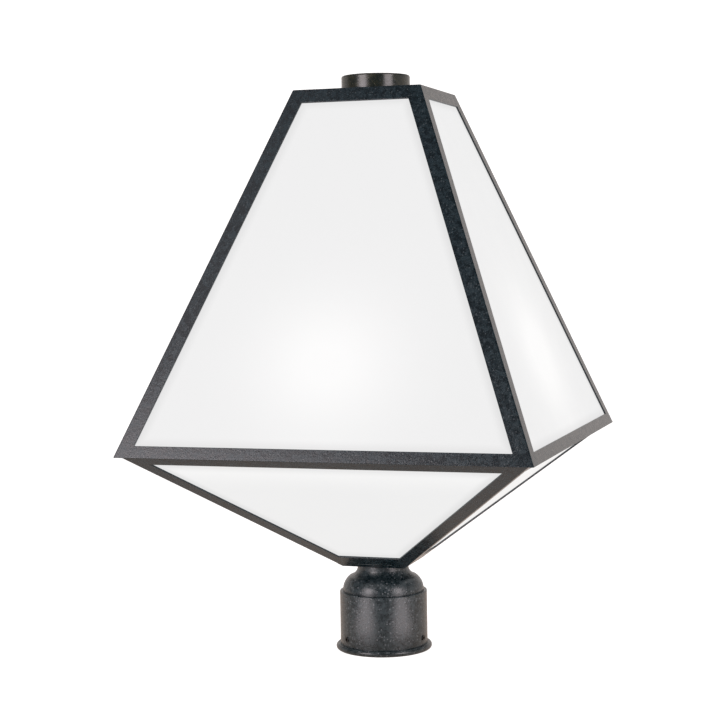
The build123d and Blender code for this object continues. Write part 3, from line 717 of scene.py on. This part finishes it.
def surface(name, built, bump, metallic=0.0, coat=0.0, **inputs):
    """A material whose colour, gloss and fine relief come from one shared node group."""
    made, tree, shader = new_material(name)
    out = group(tree, built, Place=object_place(tree), **inputs)
    tree.links.new(out["Color"], shader.inputs["Base Color"])
    tree.links.new(out["Roughness"], shader.inputs["Roughness"])
    relief = add_node(tree, "ShaderNodeBump", None, Strength=1.0, Distance=bump, Height=out["Height"])
    tree.links.new(relief.outputs[0], shader.inputs["Normal"])
    shader.inputs["Metallic"].default_value = metallic
    shader.inputs["Coat Weight"].default_value = coat
    return made


def shared(name, build):
    """A node group or material by name, built at its first use."""
    found = bpy.data.node_groups.get(name) or bpy.data.materials.get(name)
    return found if found else build()


def paint(name, dark, light, fleck, flecks, spacing=1.0, cloud=1.0, duller=(0.0, 0.0), bump=0.05 * MM):
    """A paint in its own tones: the share of flecks, how much wider than the common paint's its flecks'
    spacing and its clouds are, how much its two gloss limits are raised, and its relief."""
    common = bpy.context.scene.lantern_paint
    return shared(name, lambda: surface(
        name, shared("Mottled Paint", paint_group), bump, Dark=rgba(dark), Light=rgba(light),
        Fleck=rgba(fleck), Cloud_Scale=1 / (cloud * common.cloud_size),
        Fleck_Scale=1 / (spacing * common.fleck_size), Flecks=flecks,
        Gloss_Low=common.gloss_low + duller[0], Gloss_High=common.gloss_high + duller[1]))


def bar_paint():
    """Paint of the bars, rails and plates."""
    tones = bpy.context.scene.lantern_paint
    return paint("Bronze Bar Paint", tones.dark, tones.light, tones.bar_fleck, 0.40, spacing=1.4)


def cast_paint():
    """Paint of the fitter, duller and lumpier over its casting."""
    tones = bpy.context.scene.lantern_paint
    return paint("Bronze Cast Paint", tones.cast_dark, tones.cast_light, tones.fleck, 0.48, spacing=1.5,
                 cloud=0.8, duller=(0.03, 0.03), bump=0.10 * MM)


def knob_paint():
    """Paint of the knob, browner and smoother."""
    tones = bpy.context.scene.lantern_paint
    return paint("Bronze Knob Paint", tones.knob_dark, tones.knob_light, tones.bar_fleck, 0.10, cloud=1.6,
                 duller=(0.0, -0.04), bump=0.025 * MM)


def metal(name, bright, tarnish, low=0.24, high=0.5, streak=90.0, bump=0.012 * MM):
    """A bare or plated metal between a bright tone and a tarnished one."""
    return shared(name, lambda: surface(
        name, shared("Worked Metal", metal_group), bump, metallic=1.0, Bright=rgba(bright),
        Tarnish=rgba(tarnish), Streak_Scale=streak, Cloud_Scale=140.0, Gloss_Low=low, Gloss_High=high))


def moulded(name, colour, shade, low, high, grain=900.0, bump=0.02 * MM, coat=0.0):
    """A plastic, rubber or enamel between a tone and its darker shade."""
    return shared(name, lambda: surface(
        name, shared("Moulded Skin", plastic_group), bump, coat=coat, Tone=rgba(colour),
        Shade=rgba(shade), Cloud_Scale=60.0, Grain_Scale=grain, Gloss_Low=low, Gloss_High=high))


def zinc():
    """Zinc plate of the pipe and its nuts."""
    return metal("Zinc Plate", (0.62, 0.62, 0.60), (0.40, 0.40, 0.38))


def seal_rubber():
    """Black rubber of the gasket and the knob's seal."""
    return moulded("Seal Rubber", (0.020, 0.020, 0.020), (0.035, 0.034, 0.032), 0.6, 0.8)


def black_plastic():
    """Black plastic of the pipe's bushing and the caps' insulators."""
    return moulded("Bushing Plastic", (0.028, 0.028, 0.029), (0.045, 0.044, 0.042), 0.42, 0.6)


def opal_glass(name, cage, leg, low, high, least):
    """Satin opal glass: a cloudy white body, lamp light that grows towards the lamps, and a soft shade
    along the bars that hold the pane. The least share of lamp light reaches all of it."""
    made, tree, shader = new_material(name)
    tones = bpy.context.scene.lantern_glass
    place = object_place(tree)
    clouds = spread(tree, noise(tree, place, 16.0, 3.0, 0.5, 0.3), 0.3, 0.7)
    tree.links.new(mix_colours(tree, clouds, rgba(tones.body), rgba(tones.thin)),
                   shader.inputs["Base Color"])
    light = group(tree, shared("Lamp Light", lamp_light_group), Place=place, Reach=tones.reach,
                  Fall=tones.fall, Lit_Low=tones.lit_low, Lit_High=tones.lit_high, Rim=RIM)["Light"]
    scattered = math_node(tree, "ADD", math_node(tree, "MULTIPLY", clouds, CLOUD_LIGHT), least)
    glow = mix_colours(tree, math_node(tree, "ADD", light, scattered, clamp=True),
                       rgba(tones.unlit), rgba(tones.lit))
    shade = group(tree, shared("Edge Shade", edge_shade_group), Place=place, Leg=leg,
                  Hip_Stretch=cage.hip_stretch, Low=low, High=high, Width=tones.shade_width)["Shade"]
    faded = mix_colours(tree, math_node(tree, "MULTIPLY", shade, BAR_SHADE), glow, rgba(tones.shaded))
    # Painted light: the lamps' glow and the painted shade beside the bars are put into the glass's emission
    # colour, so the panes glow by themselves.
    tree.links.new(faded, shader.inputs["Emission Color"])
    shader.inputs["Emission Strength"].default_value = 1.0
    shader.inputs["IOR"].default_value = 1.2
    shader.inputs["Specular IOR Level"].default_value = 0.1
    ripple = noise(tree, place, 42.0, 2.0, 0.5)
    tree.links.new(spread(tree, ripple, 0.2, 0.8, 0.50, 0.62), shader.inputs["Roughness"])
    relief = add_node(tree, "ShaderNodeBump", None, Strength=1.0, Distance=0.03 * MM, Height=ripple)
    tree.links.new(relief.outputs[0], shader.inputs["Normal"])
    return made


def frosted_glass():
    """A lit frosted bulb: brightest round its filament, a little below its middle."""
    made, tree, shader = new_material("Frosted Lamp Glass")
    tones = bpy.context.scene.lantern_glass
    place = object_place(tree)
    z = add_node(tree, "ShaderNodeSeparateXYZ", None, Vector=place).outputs["Z"]
    foot, tip = (corner[2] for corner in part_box("lamp_bulb_1"))
    filament = foot + FILAMENT * (tip - foot)
    away = math_node(tree, "ABSOLUTE", math_node(tree, "SUBTRACT", z, filament))
    frost = noise(tree, place, 700.0, 2.0, 0.5)
    near = spread(tree, away, 0.0, FILAMENT_FADE * (tip - foot), 1.0, 0.0)
    amount = math_node(tree, "ADD", near, math_node(tree, "MULTIPLY", frost, 0.08), clamp=True)
    tree.links.new(mix_colours(tree, amount, rgba(tones.bulb_edge), rgba(tones.bulb)),
                   shader.inputs["Emission Color"])
    tree.links.new(mix_colours(tree, frost, (0.42, 0.40, 0.36, 1), (0.50, 0.48, 0.44, 1)),
                   shader.inputs["Base Color"])
    tree.links.new(spread(tree, frost, 0.2, 0.8, 0.42, 0.6), shader.inputs["Roughness"])
    shader.inputs["Emission Strength"].default_value = 0.5
    return made


# --- Pieces --------------------------------------------------------------------------------------------


def make_upper_bars():
    """Four corner bars, four top rails and four rim rails, which ride on the upper cage."""
    sizes = bpy.context.scene.lantern_bars
    cage = Cage("upper_corner_bar_front_right")
    leg, finish, edge = sizes.upper_leg, bar_paint(), sizes.edge_round
    bar = corner_bar(cage, leg, sizes, (edge, edge))
    top = [strip_rail(cage, leg, cage.face - sizes.top_rail, cage.face, (0, 1), sizes, (edge, edge))]
    rim = [strip_rail(cage, leg, 0.0, sizes.rim_rail, (1, 0), sizes, (edge, edge))]
    for shapes, node in ((top, "top_rail_front"), (rim, "rim_rail_front")):
        z_low, z_high = shelf_span(node)
        outer = [cage.half_at(z, sizes.thickness) for z in (z_low, z_high)]
        shapes.append(shelf(*outer, z_low, z_high, sizes.shelf_width + outer[0] - max(outer),
                            sizes.inner_round))
    for side in range(len(SIDES)):
        for stem, shape, name in (("upper_corner_bar", bar, CORNERS[side]),
                                  ("top_rail", joined(top), SIDES[side]),
                                  ("rim_rail", joined(rim), SIDES[side])):
            node = f"{stem}_{name}"
            add_piece(f"{node}_rounded", turned(shape, side), "upper_cage", finish, [node])


def make_lower_bars():
    """Four corner bars, four top rails and the four rails at the foot, which ride on the base."""
    sizes = bpy.context.scene.lantern_bars
    cage = Cage("lower_corner_bar_front_right")
    upper = Cage("upper_corner_bar_front_right")
    leg, finish, edge = sizes.lower_leg, bar_paint(), sizes.edge_round
    bar = corner_bar(cage, leg, sizes, (sizes.inner_round, sizes.inner_round))
    top = strip_rail(cage, leg, cage.face - sizes.lower_top_rail, cage.face, (0, 1), sizes,
                     (edge, sizes.inner_round))
    z_low, z_high = cage.high_z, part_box("lower_top_rail_front")[1][2]
    outer = upper.half_at(z_high, sizes.thickness) - sizes.nest_gap
    level = shelf(outer, outer, z_low, z_high, sizes.shelf_width, sizes.inner_round)
    foot = strip_rail(cage, leg, 0.0, sizes.lower_bottom_rail, (0, 0), sizes, (sizes.inner_round, edge))
    for side in range(len(SIDES)):
        for stem, shape, name in (("lower_corner_bar", bar, CORNERS[side]),
                                  ("lower_top_rail", joined([top, level]), SIDES[side])):
            node = f"{stem}_{name}"
            add_piece(f"{node}_rounded", turned(shape, side), "base", finish, [node])
    ring = joined([turned(foot, side) for side in range(len(SIDES))])
    add_piece("lower_bottom_rails_rounded", ring, "base", finish, ["lower_bottom_rails"])


def make_glass():
    """Eight opal panes."""
    sizes = bpy.context.scene.lantern_bars
    for stem, leg, foot, top, least in (
            ("upper", sizes.upper_leg, sizes.rim_rail, sizes.top_rail, 0.0),
            ("lower", sizes.lower_leg, sizes.lower_bottom_rail, sizes.lower_top_rail, LOWER_LEAST)):
        cage = Cage(f"{stem}_corner_bar_front_right")
        lean = cage.rise / cage.face
        glass = opal_glass(f"{stem.title()} Opal Glass", cage, leg, cage.low_z + foot * lean,
                           cage.high_z - top * lean, least)
        finish_nodes(glass, *(f"{stem}_glass_{side}" for side in SIDES))


def make_clips():
    """Spring clips that hold the panes, bare spring steel."""
    steel = metal("Spring Steel", (0.55, 0.55, 0.54), (0.30, 0.28, 0.26), 0.28, 0.5)
    finish_nodes(steel, "upper_glass_clips", "lower_glass_clips")


def plate_screw(sizes):
    """A low domed head with a cross recess over a threaded shank, rings of radius by angle about its axis.

    Over the dome, radius goes as the sine of a quarter turn and height as a power of its cosine. The
    recess is deepest where the smaller of |u| and |v| is under its half-width and the larger within its
    reach, u and v being the offsets across the head.
    """
    _, y_low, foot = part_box("top_plate_screws")[0]
    seat = foot + sizes.screw_length
    turn = np.linspace(0, 2 * np.pi, LATHE_COLUMNS, endpoint=False)
    part = np.linspace(0, 1, DOME_RINGS)[:, None]
    radius = sizes.screw_head * np.sin(np.pi / 2 * part) * np.ones(LATHE_COLUMNS)
    dome = sizes.screw_rise * np.cos(np.pi / 2 * part) ** DOME_POWER
    u, v = np.abs(radius * np.cos(turn)), np.abs(radius * np.sin(turn))
    inner, outer = np.minimum(u, v), np.maximum(u, v)
    across = np.clip((RECESS_HALF - inner) / RECESS_HALF_END, 0, 1)
    along = np.clip((RECESS_REACH - outer) / RECESS_REACH_END, 0, 1)
    top = seat + dome - RECESS_DEPTH * sizes.screw_rise * across * along
    z = np.linspace(seat, foot, SHANK_RINGS)[:, None]
    shank = thread(sizes.screw_shank, z, turn, foot, seat, sizes.screw_pitch, SCREW_THREAD_DEPTH)
    shank *= np.clip((z - foot) / SCREW_TIP, SCREW_TIP_SHARE, 1)
    blank = np.zeros((1, LATHE_COLUMNS))
    rings = np.concatenate([radius, shank, blank])
    levels = np.concatenate([top, z * np.ones(LATHE_COLUMNS), blank + foot])
    return spun(rings, levels, (0.0, y_low + sizes.screw_head))


def make_plates():
    """Top plate with its four screws, painted over with it, and base plate."""
    finish_nodes(bar_paint(), "top_plate", "base_plate")
    screw = plate_screw(bpy.context.scene.lantern_threads)
    screws = joined([turned(screw, side) for side in range(len(SIDES))])
    add_piece("top_plate_screws_recessed", screws, "upper_cage", bar_paint(),
              ["top_plate_screws"])


def make_fitter():
    """Post fitter with its gasket and set screws."""
    finish_nodes(cast_paint(), "post_fitter")
    finish_nodes(seal_rubber(), "neck_gasket")
    black = metal("Black Oxide", (0.035, 0.035, 0.037), (0.020, 0.018, 0.016), 0.32, 0.55)
    finish_nodes(black, *(f"set_screw_{number}" for number in NUMBERS))


def bored_pipe(sizes):
    """Outer skin upwards and bore downwards, each a row of height by a column of angle, joined at both
    ends. The columns crowd so that two of them run down the sides of the wire slot, where the faces
    between are left out and four walls join skin and bore."""
    places = node_places("centre_pipe")
    z_low, slot_low, slot_high, z_high = np.unique(np.round(places[:, 2] / MM, 2)) * MM
    at_slot = (np.abs(places[:, 2] - slot_low) < NEAR) & (places[:, 0] > 0)
    radii = np.hypot(places[:, 0], places[:, 1])
    outer, bore, slot = radii.max(), radii.min(), np.abs(places[at_slot, 1]).max()
    columns, side = PIPE_COLUMNS, SLOT_HALF_COLUMNS
    step = sizes.pipe_pitch / PIPE_TURN_RINGS
    z = np.concatenate([np.arange(z_low, z_low + sizes.pipe_foot_run, step),
                        np.arange(z_high - sizes.pipe_head_run, z_high, step),
                        [z_high, slot_low, slot_high]])
    z = np.unique(np.round(z / MM, 3)) * MM
    first, last = np.searchsorted(z, (slot_low - MERGED / 2, slot_high - MERGED / 2))
    z_bore = np.concatenate([[z_high], z[last:first - 1:-1], [z_low]])

    def angles(radius):
        """Angles about the axis, the first of them across the slot, from side to side."""
        half = np.arcsin(slot / radius)
        within = np.linspace(-half, half, 2 * side + 1)
        around = np.linspace(half, 2 * np.pi - half, columns - 2 * side + 1)[1:-1]
        return np.concatenate([within, around])

    skin_turn, bore_turn = angles(outer), angles(bore)
    skin = thread(outer, z[:, None], skin_turn, z_low, z_low + sizes.pipe_foot_run, sizes.pipe_pitch,
                  sizes.pipe_depth)
    head = thread(outer, z[:, None], skin_turn, z_high - sizes.pipe_head_run, z_high, sizes.pipe_pitch,
                  sizes.pipe_depth)
    chamfer = outer - PIPE_CHAMFER + np.minimum(z - z_low, z_high - z)[:, None]
    skin = np.minimum(np.minimum(skin, head), chamfer)
    turns = np.concatenate([np.repeat(skin_turn[None], len(z), 0),
                            np.repeat(bore_turn[None], len(z_bore), 0)])
    radius = np.concatenate([skin, np.full((len(z_bore), columns), bore)])
    height = np.concatenate([z, z_bore])[:, None] * np.ones(columns)
    points = np.stack([radius * np.cos(turns), radius * np.sin(turns), height], -1).reshape(-1, 3)
    rows = len(height)
    faces = grid_faces(rows, columns)
    closing = grid_faces(2, columns) + [0, 0, (rows - 2) * columns, (rows - 2) * columns]
    closing = closing[:, [3, 2, 1, 0]]
    row, column = np.divmod(np.arange(len(faces)), columns)
    bore_row = row - len(z)
    in_skin = (row >= first) & (row < last)
    in_bore = (bore_row >= 1) & (bore_row < 1 + last - first)
    kept = faces[~((in_skin | in_bore) & (column < 2 * side))]
    up = np.arange(first, last)
    facing = len(z) + 1 + (last - up)
    walls = [np.stack([up * columns + c, (up + 1) * columns + c, (facing - 1) * columns + c,
                       facing * columns + c], -1) for c in (0, 2 * side)]
    across = np.arange(2 * side)
    for skin_row, bore_row in ((first, len(z) + 1 + last - first), (last, len(z) + 1)):
        walls.append(np.stack([skin_row * columns + across, skin_row * columns + across + 1,
                               bore_row * columns + across + 1, bore_row * columns + across], -1))
    return points, np.concatenate([kept, closing, *walls]).tolist()


def make_centre_pipe():
    """The pipe, threaded at its head and over its lower length, with its wire slot."""
    shape = bored_pipe(bpy.context.scene.lantern_threads)
    add_piece("centre_pipe_threaded", shape, "base", zinc(), ["centre_pipe"])


def make_nuts():
    """Eight lock nuts and the bushing at the pipe's foot."""
    finish_nodes(zinc(), "lock_nuts")
    finish_nodes(black_plastic(), "pipe_bushing")


def make_knob():
    """Knob and its seal."""
    finish_nodes(knob_paint(), "knob")
    finish_nodes(seal_rubber(), "knob_seal")


def make_cluster():
    """Wiring cup, cover, lampholders and their contacts."""
    enamel = moulded("White Enamel", (0.80, 0.80, 0.775), (0.72, 0.72, 0.69), 0.16, 0.34, 500.0,
                     0.008 * MM, 0.3)
    finish_nodes(enamel, "wiring_cup", "cluster_cover")
    cream = moulded("Lampholder Plastic", (0.78, 0.745, 0.655), (0.70, 0.66, 0.56), 0.38, 0.52)
    finish_nodes(cream, *(f"lampholder_{number}" for number in NUMBERS))
    finish_nodes(metal("Contact Brass", (0.74, 0.53, 0.25), (0.45, 0.29, 0.13)), "lampholder_contacts")


def lamp_cap(node, sizes):
    """A rolled barrel with a plain collar, closed at both ends, a contact below it, and between them a
    tapered insulator, each a half section spun about the cap's axis."""
    (x_low, y_low, foot), (x_high, y_high, top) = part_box(node)
    at, radius = ((x_low + x_high) / 2, (y_low + y_high) / 2), (x_high - x_low) / 2
    neck, collar = foot + sizes.cap_tip, top - sizes.cap_collar
    turn = np.linspace(0, 2 * np.pi, LATHE_COLUMNS, endpoint=False)
    z = np.concatenate([np.linspace(neck, collar, BARREL_RINGS), [collar + CAP_STEP, top]])[:, None]
    barrel = thread(radius, z, turn, neck, collar, sizes.cap_pitch, sizes.cap_depth)
    barrel[0] -= CAP_FOOT_DEPTH * sizes.cap_depth
    blank = np.zeros((1, LATHE_COLUMNS))
    skin = spun(np.concatenate([blank, barrel, blank]),
                np.concatenate([z[:1], z, z[-1:]]) * np.ones(LATHE_COLUMNS), at)
    contact, insulator = (spun(np.repeat(outline[:, :1], LATHE_COLUMNS, 1),
                               foot + np.repeat(outline[:, 1:], LATHE_COLUMNS, 1), at)
                          for outline in (CAP_CONTACT, CAP_INSULATOR))
    return joined([skin, contact]), insulator


def make_lamps():
    """Three lamps: brass screw cap with its insulator, and frosted bulb."""
    brass = metal("Cap Brass", (0.76, 0.56, 0.28), (0.50, 0.34, 0.16))
    for number in NUMBERS:
        node, body = f"lamp_base_{number}", f"lamp_{number}"
        barrel, insulator = lamp_cap(node, bpy.context.scene.lantern_threads)
        add_piece(f"{node}_rolled", barrel, body, brass, [node])
        add_piece(f"lamp_insulator_{number}", insulator, body, black_plastic(), [])
    finish_nodes(shared("Frosted Lamp Glass", frosted_glass),
                 *(f"lamp_bulb_{number}" for number in NUMBERS))


# --- Studio --------------------------------------------------------------------------------------------


def sky_direction(azimuth, elevation):
    """Unit vector of an azimuth from the front towards the right, and an elevation."""
    return Vector((math.sin(azimuth) * math.cos(elevation), -math.cos(azimuth) * math.cos(elevation),
                   math.sin(elevation)))


def add_softbox(name, azimuth, elevation, distance, width, height, power, colour, target):
    """A rectangular area light in a direction, in degrees, from the target, turned to face it and unseen
    by the camera."""
    data = bpy.data.lights.new(name, "AREA")
    data.shape, data.size, data.size_y, data.energy = "RECTANGLE", width, height, power
    data.color = colour
    box = bpy.data.objects.new(name, data)
    direction = sky_direction(math.radians(azimuth), math.radians(elevation))
    box.location = target + distance * direction
    box.rotation_euler = direction.to_track_quat("Z", "Y").to_euler()
    box.visible_camera = False
    bpy.context.scene.collection.objects.link(box)
    return box


def floor_surface(studio):
    """A level disc that turns up into a round wall along an arc: rings by radius and height."""
    bend = studio.wall_radius - studio.floor_radius
    arc = np.linspace(0, np.pi / 2, FLOOR_ARC_RINGS)
    radius = np.concatenate([FLAT_RINGS, studio.floor_radius + bend * np.sin(arc), [studio.wall_radius]])
    height = np.concatenate([np.zeros(len(FLAT_RINGS)), bend * (1 - np.cos(arc)), [studio.wall_height]])
    turn = np.linspace(0, 2 * np.pi, FLOOR_COLUMNS, endpoint=False)
    points = np.stack([radius[:, None] * np.cos(turn), radius[:, None] * np.sin(turn),
                       np.repeat(height[:, None], len(turn), 1)], -1).reshape(-1, 3)
    rings = grid_faces(len(radius), len(turn))[:, ::-1]
    return points, rings.tolist() + [list(range(len(turn)))]


def floor_finish(studio):
    """Pale floor that the camera sees glow, and that throws a weaker light of its own on the lantern: one
    tone close under it, another further out, and hardly any from far in front."""
    finish, tree, shader = new_material("Pale Floor")
    place = object_place(tree)
    cloudy = noise(tree, place, 3.0, 2.0, 0.5)
    pale = tuple(value * 0.97 for value in studio.floor_body)
    tree.links.new(mix_colours(tree, cloudy, rgba(studio.floor_body), rgba(pale)),
                   shader.inputs["Base Color"])
    y = add_node(tree, "ShaderNodeSeparateXYZ", None, Vector=place).outputs["Y"]
    away = add_node(tree, "ShaderNodeVectorMath", {"operation": "LENGTH"}, _0=place).outputs["Value"]
    thrown = mix_colours(tree, spread(tree, away, THROWN_NEAR, THROWN_FAR), rgba(studio.near_bounce),
                         rgba(studio.floor_bounce))
    bounce = mix_colours(tree, spread(tree, y, THROWN_FRONT, THROWN_BACK), rgba(studio.front_bounce),
                         thrown)
    seen = add_node(tree, "ShaderNodeLightPath").outputs["Is Camera Ray"]
    tree.links.new(mix_colours(tree, seen, bounce, rgba(studio.floor_glow)),
                   shader.inputs["Emission Color"])
    shader.inputs["Emission Strength"].default_value = 1.0
    shader.inputs["Roughness"].default_value = 0.9
    return finish


def add_floor(studio):
    """The floor and the wall that it turns up into."""
    points, faces = floor_surface(studio)
    mesh = bpy.data.meshes.new("floor")
    mesh.from_pydata(points.tolist(), [], faces)
    mesh.polygons.foreach_set("use_smooth", np.ones(len(mesh.polygons), dtype=bool))
    mesh.materials.append(floor_finish(studio))
    floor = bpy.data.objects.new("floor", mesh)
    bpy.context.scene.collection.objects.link(floor)


def add_lights(studio):
    """Softboxes round the lantern, and light cards that light only its fitter."""
    target = Vector((0.0, 0.0, (CAD_BOX[0][2] + CAD_BOX[1][2]) / 2))
    for name, azimuth, elevation, distance, width, height, strength, part in SOFTBOXES:
        add_softbox(name, azimuth, elevation, distance, width, height, part * getattr(studio, strength),
                    studio.light, target)
    fitter = bpy.data.collections.new("lit by the cards")
    fitter.objects.link(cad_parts["post_fitter"])
    for name, azimuth in CARDS:
        card = add_softbox(name, azimuth, 0.0, CARD_DISTANCE, CARD_WIDTH, CARD_LENGTH, studio.card_power,
                           studio.light, Vector((0.0, 0.0, CARD_HEIGHT)))
        card.rotation_euler = (math.pi, 0.0, math.radians(azimuth))
        card.light_linking.receiver_collection = fitter
    world = bpy.data.worlds.new("Dark Air")
    world.use_nodes = True
    world.node_tree.nodes["Background"].inputs["Color"].default_value = rgba(studio.air)
    bpy.context.scene.world = world


def add_camera(studio):
    """The camera, looking along its azimuth and elevation and rolled about that line."""
    data = bpy.data.cameras.new("camera")
    data.lens, data.sensor_width = studio.lens / MM, SENSOR
    data.clip_start, data.clip_end = 0.01, 50.0
    camera = bpy.data.objects.new("camera", data)
    back = sky_direction(studio.azimuth, studio.elevation)
    right = (-back).cross(Vector((0, 0, 1))).normalized()
    up = right.cross(-back)
    turn = Matrix.Rotation(studio.roll, 3, back)
    columns = Matrix((right, up, back)).transposed()
    camera.matrix_world = Matrix.Translation(Vector(studio.place)) @ (turn @ columns).to_4x4()
    bpy.context.scene.collection.objects.link(camera)
    bpy.context.scene.camera = camera


def make_stage():
    """Pale floor and round wall, four softboxes, two light cards, dark air above and the camera."""
    scene = bpy.context.scene
    scene.view_settings.view_transform = "Standard"
    add_floor(scene.lantern_studio)
    add_lights(scene.lantern_studio)
    add_camera(scene.lantern_studio)


# --- Operators and panel --------------------------------------------------------------------------------


class LANTERN_OT_upper_bars(bpy.types.Operator):
    """Build the bars and rails of the upper cage"""

    bl_idname = "lantern.upper_bars"
    bl_label = "Upper Bars"

    def execute(self, context):
        make_upper_bars()
        return {"FINISHED"}


class LANTERN_OT_lower_bars(bpy.types.Operator):
    """Build the bars and rails of the lower cage"""

    bl_idname = "lantern.lower_bars"
    bl_label = "Lower Bars"

    def execute(self, context):
        make_lower_bars()
        return {"FINISHED"}


class LANTERN_OT_glass(bpy.types.Operator):
    """Finish the opal panes"""

    bl_idname = "lantern.glass"
    bl_label = "Glass"

    def execute(self, context):
        make_glass()
        return {"FINISHED"}


class LANTERN_OT_clips(bpy.types.Operator):
    """Finish the spring clips that hold the panes"""

    bl_idname = "lantern.clips"
    bl_label = "Clips"

    def execute(self, context):
        make_clips()
        return {"FINISHED"}


class LANTERN_OT_plates(bpy.types.Operator):
    """Finish the top plate, its screws and the base plate"""

    bl_idname = "lantern.plates"
    bl_label = "Plates"

    def execute(self, context):
        make_plates()
        return {"FINISHED"}


class LANTERN_OT_fitter(bpy.types.Operator):
    """Finish the post fitter, its gasket and its set screws"""

    bl_idname = "lantern.fitter"
    bl_label = "Fitter"

    def execute(self, context):
        make_fitter()
        return {"FINISHED"}


class LANTERN_OT_centre_pipe(bpy.types.Operator):
    """Build the threaded centre pipe"""

    bl_idname = "lantern.centre_pipe"
    bl_label = "Centre Pipe"

    def execute(self, context):
        make_centre_pipe()
        return {"FINISHED"}


class LANTERN_OT_nuts(bpy.types.Operator):
    """Finish the lock nuts and the pipe's bushing"""

    bl_idname = "lantern.nuts"
    bl_label = "Nuts"

    def execute(self, context):
        make_nuts()
        return {"FINISHED"}


class LANTERN_OT_knob(bpy.types.Operator):
    """Finish the knob and its seal"""

    bl_idname = "lantern.knob"
    bl_label = "Knob"

    def execute(self, context):
        make_knob()
        return {"FINISHED"}


class LANTERN_OT_cluster(bpy.types.Operator):
    """Finish the wiring cup, its cover and the lampholders"""

    bl_idname = "lantern.cluster"
    bl_label = "Lamp Cluster"

    def execute(self, context):
        make_cluster()
        return {"FINISHED"}


class LANTERN_OT_lamps(bpy.types.Operator):
    """Build the three lamps"""

    bl_idname = "lantern.lamps"
    bl_label = "Lamps"

    def execute(self, context):
        make_lamps()
        return {"FINISHED"}


class LANTERN_OT_stage(bpy.types.Operator):
    """Build the floor, the lights and the camera"""

    bl_idname = "lantern.stage"
    bl_label = "Studio"

    def execute(self, context):
        make_stage()
        return {"FINISHED"}


OPERATORS = (
    LANTERN_OT_upper_bars, LANTERN_OT_lower_bars, LANTERN_OT_glass, LANTERN_OT_clips, LANTERN_OT_plates,
    LANTERN_OT_fitter, LANTERN_OT_centre_pipe, LANTERN_OT_nuts, LANTERN_OT_knob, LANTERN_OT_cluster,
    LANTERN_OT_lamps, LANTERN_OT_stage,
)


class LANTERN_PT_pieces(bpy.types.Panel):
    """Lists the lantern's operators"""

    bl_label = "Post Top Lantern"
    bl_space_type = "VIEW_3D"
    bl_region_type = "UI"
    bl_category = "Lantern"

    def draw(self, context):
        for operator in OPERATORS:
            self.layout.operator(operator.bl_idname)


def register():
    for kind in (*GROUPS.values(), *OPERATORS, LANTERN_PT_pieces):
        bpy.utils.register_class(kind)
    for name, kind in GROUPS.items():
        setattr(bpy.types.Scene, name, PointerProperty(type=kind))


def unregister():
    for name in GROUPS:
        delattr(bpy.types.Scene, name)
    for kind in reversed((*GROUPS.values(), *OPERATORS, LANTERN_PT_pieces)):
        bpy.utils.unregister_class(kind)


def main():
    register()
    for operator in OPERATORS:
        family, name = operator.bl_idname.split(".")
        getattr(getattr(bpy.ops, family), name)()


if __name__ == "__main__":
    main()
